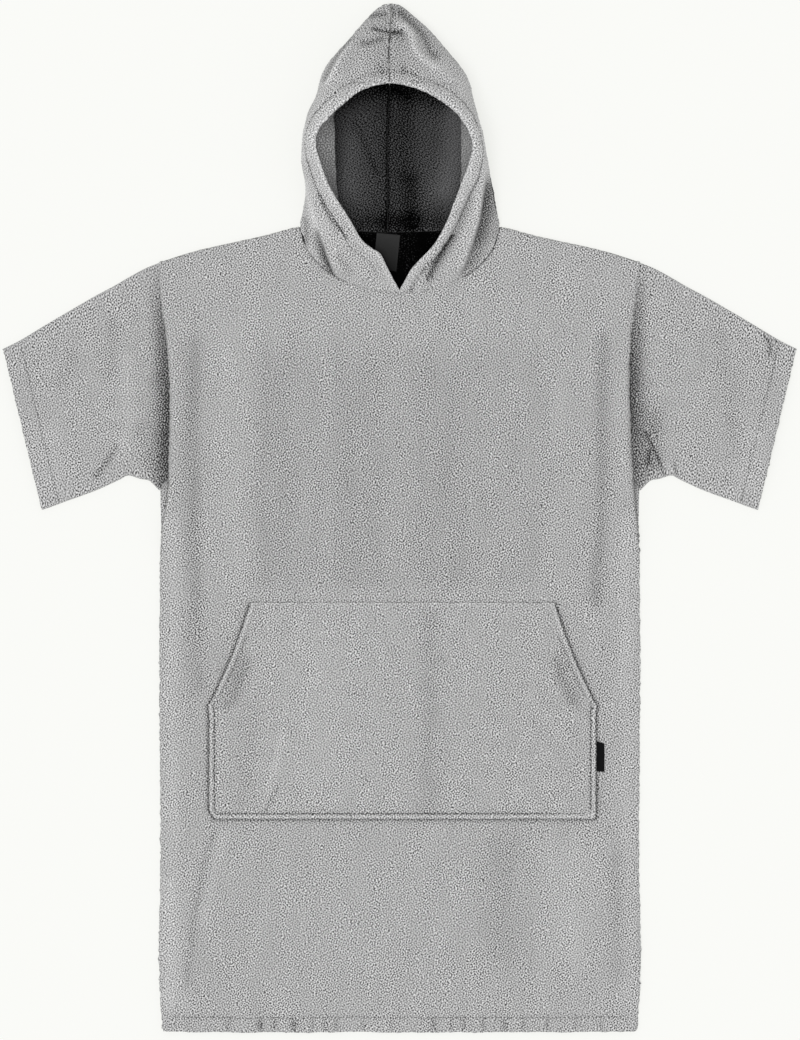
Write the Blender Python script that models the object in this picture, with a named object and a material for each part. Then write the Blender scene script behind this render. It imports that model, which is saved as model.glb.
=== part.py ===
"""Hooded towelling poncho, laid face up on a flat surface with its hood opened out.

Metres. +X runs across to the right sleeve, +Y from the hem to the tip of the hood, +Z up from the
surface. The origin is on the surface, under the middle of the garment. Every piece is a wall of cloth:
a grid of points through the middle of the cloth, with one skin on each side of it and a rim round it.
"""

from math import pi

import bmesh
import bpy
import numpy as np

# Cloth
CLOTH = 0.003  # towelling, with its loops pressed down
TAPE = 0.001  # woven label
GAP = 0.0003  # between neighbouring pieces
HEM_LIFT = 0.0010  # how far a turned hem stands above the cloth beside it

# Body, measured on the flat garment
LENGTH = 1.406  # hem to the tip of the hood
HEM_Y = -LENGTH / 2
HEM_DEPTH = 0.021
BODY_HALF = 0.327
NECK_HALF = 0.1358
NECK_Y = 0.3975  # where neck and shoulder meet
NECK_FRONT_Y = 0.3075  # bottom of the front neckline
ARMHOLE_X = 0.328
ARMHOLE_TOP_Y = 0.349
ARMHOLE_LOW_Y = 0.036
STRAIGHT_Y = 0.100  # below this the rows of the front run straight across

# Heights of the middle of the cloth above the surface
BACK_MID = CLOTH / 2
FRONT_MID = CLOTH + GAP + CLOTH / 2
FRONT_FULL = 0.0012  # the front rises this far away from its seams
FRONT_FULL_WITHIN = 0.040
NECK_SIDE_MID = 0.007
NECK_FRONT_MID = 0.008
NECK_RISE_WITHIN = 0.030

# Roll of the front over the armhole seam
ROLL_HEIGHT = 0.0060
ROLL_EDGE = 0.005
ROLL_WITHIN = 0.045

# Sleeve
SLEEVE_FOLD_MID = 0.0053  # upper layer beside the folds
SLEEVE_CUFF_HEM = 0.025

# Hood
HOOD_TURN = 0.028  # how far inside its outline the hood leaves the surface
HOOD_HEM = 0.022
FACING_WIDTH = 0.025
FACING_DROP = 0.0039  # upper edge of the facing below the middle of the rim

# Pocket
POCKET_X = 0.0025
POCKET_TOP_Y = -0.118
POCKET_CORNER_Y = -0.256
POCKET_BOTTOM_Y = -0.4125
POCKET_TOP_HALF = 0.2085
POCKET_HALF = 0.265
POCKET_BOW = 0.004  # the slanted openings curve in by this much
POCKET_PUFF = 0.0030
POCKET_CLEAR = 0.030  # the front lies plain this far round the pocket

# Labels
TAB_LENGTH = 0.041
TAB_WIDTH = 0.0105
TAB_Y = -0.326
LABEL_WIDTH = 0.032
LABEL_LENGTH = 0.050
LABEL_X = -0.0155
LABEL_TILT = 0.10

COLOURS = {
    "towelling": ((0.42, 0.42, 0.42), 0.95),
    "tab": ((0.02, 0.02, 0.02), 0.7),
    "label": ((0.16, 0.16, 0.16), 0.8),
}


def table(columns, *rows):
    """Rows of numbers, as one array for each named column."""
    return dict(zip(columns.split(), np.array(rows, float).T))


# Side edges. The front is drawn in along the armhole, so the back shows beside it under the arm.
FRONT_EDGE = table(
    "y half",
    (-0.704, 0.3215),
    (-0.683, 0.3240),
    (-0.450, 0.3255),
    (-0.100, 0.3265),
    (-0.026, 0.3262),
    (0.036, 0.3190),
    (0.100, 0.3168),
    (0.161, 0.3158),
    (0.243, 0.3200),
    (0.298, 0.3248),
    (0.350, 0.3280),
)
BACK_EDGE = table(
    "y half",
    (-0.704, 0.3225),
    (-0.683, 0.3245),
    (-0.450, 0.3255),
    (-0.060, 0.3280),
    (0.036, 0.3280),
    (0.350, 0.3280),
)
SHOULDER = table(
    "x y",
    (NECK_HALF, NECK_Y),
    (0.150, 0.3945),
    (0.184, 0.3855),
    (0.236, 0.3742),
    (0.284, 0.3630),
    (ARMHOLE_X, ARMHOLE_TOP_Y),
)

# Sleeve, from the armhole to the cuff: its upper fold, its underarm fold, how far the upper layer
# stands up in the middle.
SLEEVE = table(
    "top_x top_y under_x under_y hump",
    (0.3283, 0.3485, 0.3283, 0.0370, 0.0000),
    (0.3370, 0.3452, 0.3340, 0.0430, 0.0008),
    (0.3460, 0.3415, 0.3425, 0.0505, 0.0016),
    (0.3570, 0.3360, 0.3550, 0.0530, 0.0023),
    (0.3720, 0.3275, 0.3715, 0.0560, 0.0028),
    (0.3900, 0.3170, 0.3860, 0.0500, 0.0030),
    (0.4180, 0.3020, 0.4060, 0.0410, 0.0030),
    (0.4500, 0.2835, 0.4300, 0.0315, 0.0028),
    (0.4840, 0.2635, 0.4550, 0.0225, 0.0025),
    (0.5180, 0.2430, 0.4740, 0.0155, 0.0022),
    (0.5420, 0.2310, 0.4895, 0.0105, 0.0020),
)

# Hood, a row for each section from the tip to the neck seam. back_y: on the seam down the back of the
# head. seam: that seam and the one over the crown. lean and half: middle and half width of the outline.
# The cloth then climbs from the side to the rim; in the first rows it closes over the crown instead.
HOOD = table(
    "back_y side_y seam lean half side_z rim_y rim_left rim_right rim_z",
    (0.6955, 0.7012, -0.0120, -0.0120, 0.000, 0.0070, 0.7015, -0.0120, -0.0120, 0.0120),
    (0.6940, 0.6990, -0.0120, -0.0120, 0.011, 0.0075, 0.7008, -0.0120, -0.0120, 0.0140),
    (0.6925, 0.6935, -0.0120, -0.0120, 0.020, 0.0090, 0.6965, -0.0120, -0.0120, 0.0190),
    (0.6830, 0.6835, -0.0120, -0.0113, 0.031, 0.0110, 0.6870, -0.0120, -0.0120, 0.0280),
    (0.6670, 0.6670, -0.0125, -0.0092, 0.048, 0.0150, 0.6710, -0.0125, -0.0125, 0.0440),
    (0.6505, 0.6505, -0.0133, -0.0086, 0.062, 0.0190, 0.6545, -0.0133, -0.0133, 0.0570),
    (0.6340, 0.6340, -0.0147, -0.0092, 0.0765, 0.0230, 0.6395, -0.0147, -0.0147, 0.0680),
    (0.6180, 0.6180, -0.0152, -0.0092, 0.0895, 0.0270, 0.6245, -0.0152, -0.0152, 0.0770),
    (0.6010, 0.6025, -0.0147, -0.0080, 0.0990, 0.0300, 0.6095, -0.0147, -0.0147, 0.0840),
    (0.5850, 0.5875, -0.0133, -0.0070, 0.1040, 0.0330, 0.5930, -0.0133, -0.0133, 0.0900),
    (0.5740, 0.5770, -0.0147, -0.0072, 0.1060, 0.0340, 0.5895, -0.0345, 0.0085, 0.0900),
    (0.5630, 0.5660, -0.0155, -0.0080, 0.1095, 0.0360, 0.5800, -0.0565, 0.0345, 0.0890),
    (0.5495, 0.5520, -0.0160, -0.0098, 0.1150, 0.0380, 0.5630, -0.0760, 0.0630, 0.0870),
    (0.5360, 0.5370, -0.0165, -0.0098, 0.1190, 0.0390, 0.5455, -0.0945, 0.0815, 0.0840),
    (0.5210, 0.5220, -0.0168, -0.0092, 0.1230, 0.0390, 0.5280, -0.1095, 0.0933, 0.0800),
    (0.5030, 0.5040, -0.0168, -0.0085, 0.1252, 0.0380, 0.5070, -0.1132, 0.1000, 0.0760),
    (0.4810, 0.4825, -0.0168, -0.0065, 0.1272, 0.0350, 0.4825, -0.1070, 0.0950, 0.0700),
    (0.4590, 0.4605, -0.0168, -0.0025, 0.1272, 0.0300, 0.4565, -0.0980, 0.0846, 0.0620),
    (0.4400, 0.4415, -0.0168, 0.0000, 0.1286, 0.0240, 0.4305, -0.0838, 0.0740, 0.0520),
    (0.4235, 0.4250, -0.0168, 0.0000, 0.1313, 0.0190, 0.4060, -0.0675, 0.0646, 0.0420),
    (0.4100, 0.4115, -0.0168, 0.0000, 0.1340, 0.0140, 0.3805, -0.0516, 0.0507, 0.0320),
    (0.4045, 0.4075, -0.0168, 0.0000, 0.1352, 0.0120, 0.3680, -0.0352, 0.0407, 0.0270),
    (0.4005, 0.4040, -0.0168, 0.0000, 0.1356, 0.0100, 0.3605, -0.0243, 0.0345, 0.0240),
    (0.3965, 0.4010, -0.0168, 0.0000, 0.1358, 0.0085, 0.3415, -0.0154, 0.0161, 0.0170),
    (0.3935, 0.3988, -0.0168, 0.0000, 0.1358, 0.0075, 0.3235, -0.0072, 0.0065, 0.0120),
    (0.3905, NECK_Y, -0.0168, 0.0000, 0.1358, 0.0070, 0.3078, -0.0002, 0.0002, 0.0080),
)
CROWN_ROWS = 10  # rows that close over the crown; the last of them ends at the top of the rim
HOOD_BACK = 9  # columns of each hood panel from its back seam to its side
CLIMB = (8, 16, 24, 32, 40, 48, 56, 64, 72, 81, 90)  # degrees, columns from its side up to its rim
FACING_ROWS = {-1: slice(12, 20), 1: slice(12, 19)}
FACING_EDGE = {-1: (-0.0915, -0.0865), 1: (0.0852, 0.0852)}  # x of its free edge, top and bottom

# Soft folds, as ridges between two points: height and half width of each
FRONT_FOLDS = table(
    "x0 y0 x1 y1 height width",
    (-0.066, 0.290, -0.074, -0.050, 0.0022, 0.034),
    (0.020, 0.270, 0.034, -0.060, 0.0018, 0.040),
    (0.120, 0.330, 0.140, -0.030, 0.0020, 0.036),
    (-0.170, 0.340, -0.195, 0.020, 0.0018, 0.036),
    (0.200, 0.250, 0.215, -0.060, 0.0018, 0.030),
    (0.292, 0.010, 0.300, -0.610, 0.0026, 0.016),
    (-0.292, -0.030, -0.298, -0.420, 0.0022, 0.016),
    (-0.262, -0.446, -0.292, -0.650, 0.0032, 0.016),
    (0.250, -0.450, 0.160, -0.600, 0.0024, 0.026),
    (-0.120, -0.460, -0.100, -0.670, 0.0020, 0.036),
    (0.040, -0.470, 0.050, -0.670, 0.0020, 0.036),
)
SLEEVE_FOLDS = table(
    "x0 y0 x1 y1 height width",
    (0.345, 0.115, 0.372, 0.066, 0.0020, 0.009),
)
HOOD_FOLDS = {
    -1: table(
        "x0 y0 x1 y1 height width",
        (-0.124, 0.455, -0.110, 0.395, 0.0040, 0.009),
        (-0.110, 0.395, -0.080, 0.334, 0.0060, 0.011),
        (-0.121, 0.385, -0.097, 0.340, -0.0040, 0.008),
        (-0.078, 0.420, -0.040, 0.345, 0.0030, 0.010),
        (-0.060, 0.645, -0.088, 0.600, 0.0035, 0.008),
    ),
    1: table(
        "x0 y0 x1 y1 height width",
        (0.116, 0.460, 0.103, 0.392, 0.0060, 0.010),
        (0.103, 0.392, 0.080, 0.334, 0.0070, 0.011),
        (0.120, 0.425, 0.112, 0.372, -0.0040, 0.008),
        (0.076, 0.400, 0.042, 0.338, -0.0035, 0.008),
        (0.015, 0.660, 0.032, 0.630, 0.0035, 0.008),
        (0.032, 0.630, 0.070, 0.605, 0.0035, 0.009),
    ),
}
POCKET_FOLDS = table(
    "x0 y0 x1 y1 height width",
    (-0.150, -0.280, -0.186, -0.400, 0.0022, 0.012),
    (0.060, -0.125, 0.064, -0.400, 0.0014, 0.024),
)


def curve(xs, ys, at):
    """Smooth curve through the points (xs, ys), read at the places at: a cubic between neighbours, its
    slope at each point taken from the points on both sides."""
    slope = np.gradient(ys, xs)
    i = np.clip(np.searchsorted(xs, at, side="right") - 1, 0, len(xs) - 2)
    step = xs[i + 1] - xs[i]
    t = np.clip((at - xs[i]) / step, 0, 1)
    ends = ys[i] * (1 + 2 * t) * (1 - t) ** 2 + ys[i + 1] * t**2 * (3 - 2 * t)
    return ends + step * (slope[i] * t * (1 - t) ** 2 + slope[i + 1] * t**2 * (t - 1))


def ease(t):
    """0 up to t = 0 and 1 from t = 1, level at both ends."""
    t = np.clip(t, 0, 1)
    return t * t * (3 - 2 * t)


def ridges(folds, x, y):
    """Height of all the folds of a table at each point: a bell across each fold, which runs out evenly
    towards its two ends."""
    height = np.zeros_like(x)
    for x0, y0, x1, y1, top, width in zip(*folds.values()):
        run = np.hypot(x1 - x0, y1 - y0)
        along = ((x - x0) * (x1 - x0) + (y - y0) * (y1 - y0)) / run**2
        aside = ((x - x0) * (y1 - y0) - (y - y0) * (x1 - x0)) / run
        beyond = np.maximum(np.abs(along - 0.5) - 0.5, 0) * run
        height += top * np.exp(-(aside**2 + beyond**2) / width**2)
    return height


def normals(middle, closed=False):
    """Unit normals of a grid of points, columns crossed with rows. A closed grid's first and last columns
    are the same points."""
    if closed:
        padded = np.concatenate([middle[:, -2:-1], middle, middle[:, 1:2]], axis=1)
        across = padded[:, 2:] - padded[:, :-2]
    else:
        across = np.gradient(middle, axis=1)
    along = np.gradient(middle, axis=0)
    return unit(np.cross(across, along))


def unit(vectors):
    return vectors / np.maximum(np.linalg.norm(vectors, axis=-1, keepdims=True), 1e-12)


def skin(mesh, points):
    """One grid of faces through an array of points, rows by columns. Returns its vertices in that order."""
    rows, columns = points.shape[:2]
    made = bmesh.ops.create_grid(mesh, x_segments=columns - 1, y_segments=rows - 1, size=1)["verts"]
    made.sort(key=lambda vertex: (round(vertex.co.y, 5), round(vertex.co.x, 5)))
    for vertex, point in zip(made, points.reshape(-1, 3)):
        vertex.co = point
    return made


def wall(name, outer, inner, colour, closed=False):
    """Object with a closed wall between two grids of points. A closed grid is a tube, open at its first
    and last rows."""
    mesh = bmesh.new()
    skin(mesh, outer)
    skin(mesh, inner)
    if closed:
        bmesh.ops.remove_doubles(mesh, verts=mesh.verts, dist=GAP / 100)
        for row in (0, -1):
            ends = np.concatenate([outer[row], inner[row]])
            border = [edge for edge in mesh.edges if edge.is_boundary and on_row(edge, ends)]
            bmesh.ops.bridge_loops(mesh, edges=border)
    else:
        bmesh.ops.bridge_loops(mesh, edges=[edge for edge in mesh.edges if edge.is_boundary])
    bmesh.ops.recalc_face_normals(mesh, faces=mesh.faces)
    data = bpy.data.meshes.new(name)
    mesh.to_mesh(data)
    mesh.free()
    data.materials.append(material(name, *COLOURS[colour]))
    data.shade_smooth()
    data.set_sharp_from_angle(angle=pi / 4)
    piece = bpy.data.objects.new(name, data)
    garment.objects.link(piece)
    return piece


def on_row(edge, ends):
    """Whether both ends of an edge are among the given points."""
    return all(np.abs(ends - np.array(vertex.co)).sum(axis=1).min() < GAP / 10 for vertex in edge.verts)


def material(name, colour, roughness):
    made = bpy.data.materials.new(name)
    made.use_nodes = True
    shader = made.node_tree.nodes["Principled BSDF"]
    shader.inputs["Base Color"].default_value = (*colour, 1)
    shader.inputs["Roughness"].default_value = roughness
    shader.inputs["Metallic"].default_value = 0
    return made


def level_wall(name, x, y, middle, colour, thickness=CLOTH, lift=0.0):
    """A panel that lies flat: both skins straight above each other, the upper one raised by lift."""
    upper = np.stack([x, y, middle + thickness / 2 + lift], axis=-1)
    lower = np.stack([x, y, middle - thickness / 2], axis=-1)
    return wall(name, upper, lower, colour)


def mirrored(half):
    """Columns from -1 to 1, from those from 0 to 1."""
    half = np.array(half)
    return np.concatenate([-half[:0:-1], half])


def hood_middle(side):
    """Middle of the cloth of one hood panel, side -1 for the left. Its columns run from the back seam
    out over the surface, round a quarter of an ellipse up to the side, and round another in to the rim."""
    row = {name: values[:, None] for name, values in HOOD.items()}
    floor = np.linspace(0, 1, 5)[None, :]
    turn = np.radians([22.5, 45, 67.5, 90])[None, :]
    climb = np.radians(CLIMB)[None, :]
    rim_x = row["rim_left" if side < 0 else "rim_right"].copy()
    rim_x[:CROWN_ROWS] += side * GAP / 2
    side_x = row["lean"] + side * np.maximum(row["half"] - CLOTH / 2, GAP / 2)
    width = np.minimum(HOOD_TURN, 0.45 * row["half"])
    seam_x = row["seam"] + side * GAP / 2
    floor_x = side_x - side * width

    x_floor = seam_x + (floor_x - seam_x) * floor
    x_turn = floor_x + side * width * np.sin(turn)
    out = np.concatenate([0.7 * floor, 0.7 + 0.3 * turn / turn.max()], axis=1) ** 1.5
    y_out = row["back_y"] + (row["side_y"] - row["back_y"]) * out
    z_floor = BACK_MID + 0 * x_floor
    z_turn = BACK_MID + (row["side_z"] - BACK_MID) * (1 - np.cos(turn))

    neck_inset = np.zeros_like(side_x)
    neck_inset[-1] = GAP + CLOTH / 2
    x_climb = rim_x + (side_x - rim_x) * np.cos(climb)
    x_climb -= side * (neck_inset * np.cos(climb) ** 8)
    y_climb = row["side_y"] + (row["rim_y"] - row["side_y"]) * np.sin(climb)
    z_climb = row["side_z"] + (row["rim_z"] - row["side_z"]) * np.sin(climb)
    fade = ease((len(side_x) - 1 - np.arange(len(side_x))) / 3)[:, None]
    z_climb += fade * ridges(HOOD_FOLDS[side], x_climb, y_climb)

    x = np.concatenate([x_floor, x_turn, x_climb], axis=1)
    y = np.concatenate([y_out, y_climb], axis=1)
    z = np.concatenate([z_floor, z_turn, z_climb], axis=1)
    return np.stack([x, y, z], axis=-1)


def make_hood(side):
    middle = hood_middle(side)
    # The first row is the seam round the tip, where the cloth turns from facing down to facing up.
    round_tip = np.radians(np.linspace(-85, 65, middle.shape[1]))
    flat = np.zeros_like(middle)
    flat[0] = np.stack([0 * round_tip, np.cos(round_tip), np.sin(round_tip)], axis=-1)
    flat[1:] = side * normals(middle)[1:]
    # Along the seams the rim of the wall stands straight on the seam.
    flat[:, 0, 0] = 0
    flat[:CROWN_ROWS, -1, 0] = 0
    climbing = np.arange(middle.shape[1]) >= HOOD_BACK
    flat[-1, climbing, :2] *= np.linspace(0.8, 0, climbing.sum())[:, None]
    flat[-1, ~climbing, 1] = 0
    outward = unit(flat)
    rim = middle[CROWN_ROWS - 1 :, -1]
    from_rim = np.linalg.norm(middle[:, :, None] - rim[None, None], axis=-1).min(axis=2)
    lift = HEM_LIFT * (1 - ease(from_rim / HOOD_HEM - 0.5))[..., None]
    lift[-1] = 0
    name = "hood_left" if side < 0 else "hood_right"
    wall(name, middle + outward * (CLOTH / 2 + lift), middle - outward * CLOTH / 2, "towelling")


def make_facing(side):
    """The hood's hem turned in: a strip that hangs inward from under the rim to a straight free edge."""
    rim = hood_middle(side)[FACING_ROWS[side], -1]
    share = np.linspace(0, 1, len(rim))
    edge_x = np.interp(share, (0, 1), FACING_EDGE[side])
    reach = np.clip(edge_x - rim[:, 0], -0.9 * FACING_WIDTH, 0.9 * FACING_WIDTH)
    top = rim - np.array([0, 0, FACING_DROP])
    edge = top + np.stack([reach, 0 * reach, -np.sqrt(FACING_WIDTH**2 - reach**2)], axis=-1)
    down = np.array([0, 0.33, 0.67, 1])[None, :, None]
    middle = top[:, None] + (edge - top)[:, None] * down
    inward = normals(middle)
    name = "hood_facing_left" if side < 0 else "hood_facing_right"
    wall(name, middle + inward * CLOTH / 2, middle - inward * CLOTH / 2, "towelling")


def hood_lower_edge():
    """Points along the lower edge of the hood's back, from its left side to its right."""
    left, right = hood_middle(-1)[-1, :HOOD_BACK], hood_middle(1)[-1, :HOOD_BACK]
    return np.concatenate([left[::-1], right])


def back_neck_y(x):
    """Neck edge of the back: the lower edge of the hood's back, moved down by the gap."""
    edge = hood_lower_edge()
    return np.interp(x, edge[:, 0], edge[:, 1]) - GAP


def shoulder_y(x):
    return curve(SHOULDER["x"], SHOULDER["y"], np.abs(x))


def front_neck_y(x):
    """Front neckline: half an ellipse."""
    across = np.clip(np.abs(x) / NECK_HALF, 0, 1)
    return NECK_Y - (NECK_Y - NECK_FRONT_Y) * np.sqrt(1 - across**2)


def panel(columns, rows, edge, neck_y):
    """Points of a body panel. Columns from -1 to 1 across the body, rows from 0 at the hem to 1 at
    STRAIGHT_Y and on to 2 along the shoulders and the neck."""
    u, v = np.meshgrid(columns, rows)
    plain_x = u * BODY_HALF
    top = np.where(np.abs(plain_x) < NECK_HALF, neck_y(plain_x), shoulder_y(plain_x))
    y = np.where(v < 1, HEM_Y + (STRAIGHT_Y - HEM_Y) * v, STRAIGHT_Y + (top - STRAIGHT_Y) * (v - 1))
    half = curve(edge["y"], edge["half"], y)
    x = plain_x + np.sign(u) * (half - BODY_HALF) * ease((np.abs(u) - 0.6) / 0.4)
    return x, y, half - np.abs(x)


def pocket_half(y):
    """Half the pocket's width: slanted, slightly hollow openings above, and round lower corners."""
    up = np.clip((y - POCKET_CORNER_Y) / (POCKET_TOP_Y - POCKET_CORNER_Y), 0, 1)
    slant = (POCKET_HALF - POCKET_TOP_HALF) * up + POCKET_BOW * np.sin(pi * up)
    corner = 0.007 * (1 - ease((y - POCKET_BOTTOM_Y) / 0.014))
    return POCKET_HALF - slant - corner


def front_middle(x, y, inside):
    """Height of the middle of the front. It rises softly from its seams, rolls over along the armhole,
    lifts at the neck and carries the soft folds, but lies plain under the pocket."""
    height = FRONT_MID + FRONT_FULL * ease(inside / FRONT_FULL_WITHIN)
    armhole = ease((y - ARMHOLE_LOW_Y + 0.06) / 0.08) * ease((ARMHOLE_TOP_Y + 0.02 - y) / 0.09)
    roll = (1 - np.exp(-((inside / ROLL_EDGE) ** 2))) * np.exp(-((inside / ROLL_WITHIN) ** 1.5))
    height += ROLL_HEIGHT * armhole * roll
    below = front_neck_y(x) - y
    side = np.clip(np.abs(x) / NECK_HALF, 0, 1)
    neck_mid = NECK_FRONT_MID + (NECK_SIDE_MID - NECK_FRONT_MID) * side
    near = np.maximum(below, 0) + np.maximum(np.abs(x) - NECK_HALF, 0)
    lift = np.exp(-((near / NECK_RISE_WITHIN) ** 2))
    height += (neck_mid - height) * lift
    past_x = np.maximum(np.abs(x - POCKET_X) - POCKET_HALF, 0)
    past_y = np.maximum(np.maximum(POCKET_BOTTOM_Y - y, y - POCKET_TOP_Y), 0)
    clear = ease(np.hypot(past_x, past_y) / POCKET_CLEAR - 0.3)
    sewn = ease(inside / 0.02) * (1 - lift) * ease((y - HEM_Y - HEM_DEPTH) / 0.03)
    return height + clear * sewn * ridges(FRONT_FOLDS, x, y)


def make_front():
    neck = NECK_HALF / BODY_HALF
    around = neck * np.cos(np.radians([*CLIMB[::-1], 0]))
    half = [*around, 0.50, 0.60, 0.70, 0.79, 0.86, 0.91, 0.945, 0.968, 0.984, 0.993, 1.0]
    low = [0, 0.022, 0.027, 0.05, 0.11, 0.18, 0.25, 0.32, 0.36, 0.44, 0.54, 0.64, 0.73, 0.80, 0.87, 0.94]
    high = [1.0, 1.15, 1.3, 1.45, 1.58, 1.7, 1.8, 1.88, 1.94, 1.98, 2.0]
    x, y, inside = panel(mirrored(half), np.array(low + high), FRONT_EDGE, front_neck_y)
    lift = HEM_LIFT * (1 - ease((y - HEM_Y - HEM_DEPTH) / 0.004))
    level_wall("body_front", x, y, front_middle(x, y, inside), "towelling", lift=lift)


def make_back():
    side = np.array([NECK_HALF / BODY_HALF, 0.45, 0.56, 0.72, 0.87, 1.0])
    columns = np.concatenate([-side[::-1], hood_lower_edge()[:, 0] / BODY_HALF, side])
    rows = np.array([0, 0.03, 0.3, 0.6, 0.8, 0.9, 1.0, 1.3, 1.6, 1.85, 2.0])
    x, y, _ = panel(columns, rows, BACK_EDGE, back_neck_y)
    level_wall("body_back", x, y, BACK_MID + 0 * x, "towelling")


def make_sleeve(side):
    """A flattened tube round the two folds: the upper layer from shoulder to underarm, the underarm
    fold, the lower layer flat on the surface, and the shoulder fold."""
    down = np.array([0.02, 0.06, 0.13, 0.22, 0.32, 0.43, 0.54, 0.65, 0.76, 0.86, 0.94, 0.98])
    bend = np.radians([45, 0, -45])
    share = np.concatenate([down, [1, 1, 1], down[::-1], [0, 0, 0], down[:1]])
    lean = np.concatenate([0 * down + pi / 2, bend, 0 * down - pi / 2, bend[::-1], [pi / 2]])
    past = np.concatenate([0 * down, np.cos(bend), 0 * down, -np.cos(bend), [0]])
    row = {name: values[:, None] for name, values in SLEEVE.items()}
    share, lean, past = share[None, :], lean[None, :], past[None, :]

    length = np.hypot(row["under_x"] - row["top_x"], row["under_y"] - row["top_y"])
    upper = SLEEVE_FOLD_MID + row["hump"] * np.sin(pi * share) ** 0.6
    radius = (SLEEVE_FOLD_MID - BACK_MID) / 2
    inset = (radius + CLOTH / 2) / length
    place = inset + (1 - 2 * inset) * share + past * radius / length
    x = row["top_x"] + (row["under_x"] - row["top_x"]) * place
    y = row["top_y"] + (row["under_y"] - row["top_y"]) * place
    above = lean > 1
    drawn_in = (curve(FRONT_EDGE["y"], FRONT_EDGE["half"], y) - ARMHOLE_X) * above
    near = 1 - ease(np.linspace(0, 1, len(length)) / 0.45)[:, None]
    x += drawn_in * near * ease((1 - share) / 0.07)
    x[0] += GAP
    bumps = ridges(SLEEVE_FOLDS, x, y) * ease(np.arange(len(length)) / 2)[:, None]
    z = np.where(above, upper + bumps, (SLEEVE_FOLD_MID + BACK_MID) / 2 + radius * np.sin(lean))

    middle = np.stack([side * x, y, z], axis=-1)
    outward = -side * normals(middle, closed=True)
    outward[0, :, 0] = 0
    outward = unit(outward)
    to_cuff = np.hypot(x[-1] - x, y[-1] - y)
    lift = HEM_LIFT * (1 - ease((to_cuff - SLEEVE_CUFF_HEM) / 0.004)) * above
    lift = lift[..., None]
    name = "sleeve_left" if side < 0 else "sleeve_right"
    outer = middle + outward * (CLOTH / 2 + lift)
    wall(name, outer, middle - outward * CLOTH / 2, "towelling", closed=True)


def make_pocket():
    """The pocket lies on the plain part of the front, held at its top and lower edges, and stands off
    it a little in the middle."""
    across = mirrored([0, 0.10, 0.20, 0.31, 0.43, 0.55, 0.67, 0.78, 0.88, 0.95, 0.985, 1.0])
    slant = np.linspace(POCKET_CORNER_Y, POCKET_TOP_Y, 7)
    side = [0, 0.005, 0.014, 0.035, 0.065, 0.10, 0.13]
    rows = np.concatenate([POCKET_BOTTOM_Y + np.array(side), slant])
    u, y = np.meshgrid(across, rows)
    half = pocket_half(y)
    x = POCKET_X + u * half
    inside = np.minimum(half - np.abs(x - POCKET_X), y - POCKET_BOTTOM_Y)
    inside = np.minimum(inside, POCKET_TOP_Y - y)
    seat = FRONT_MID + FRONT_FULL + CLOTH + GAP
    puff = POCKET_PUFF * ease(inside / 0.09) + ridges(POCKET_FOLDS, x, y) * ease(inside / 0.03)
    level_wall("pocket", x, y, seat + puff, "towelling")


def make_tab():
    """A woven tab folded out of the pocket's right edge, lying on the front."""
    u, v = np.meshgrid(np.linspace(0, 1, 3), np.linspace(-0.5, 0.5, 5))
    x = POCKET_X + POCKET_HALF + GAP + 0.0002 + u * TAB_WIDTH
    y = TAB_Y + v * TAB_LENGTH - u * 0.001
    on_front = FRONT_MID + FRONT_FULL + CLOTH / 2 + GAP + TAPE / 2
    level_wall("pocket_tab", x, y, on_front + 0.0002 + 0 * x, "tab", thickness=TAPE)


def make_label():
    """A woven label hanging from the back neck seam, lying on the inside of the back."""
    u, v = np.meshgrid(np.linspace(-0.5, 0.5, 4), np.linspace(0, 1, 6))
    x = LABEL_X + u * LABEL_WIDTH - v * LABEL_LENGTH * LABEL_TILT
    y = HOOD["back_y"][-1] - 0.0025 - v * LABEL_LENGTH - u * LABEL_WIDTH * LABEL_TILT
    level_wall("neck_label", x, y, CLOTH + GAP + TAPE / 2 + 0 * x, "label", thickness=TAPE)


for old in list(bpy.data.objects):
    bpy.data.objects.remove(old, do_unlink=True)

garment = bpy.data.collections.new("bath_poncho")
bpy.context.scene.collection.children.link(garment)

make_back()
make_front()
for arm in (-1, 1):
    make_sleeve(arm)
    make_hood(arm)
    make_facing(arm)
make_pocket()
make_tab()
make_label()
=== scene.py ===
from math import pi, radians, sqrt

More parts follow.
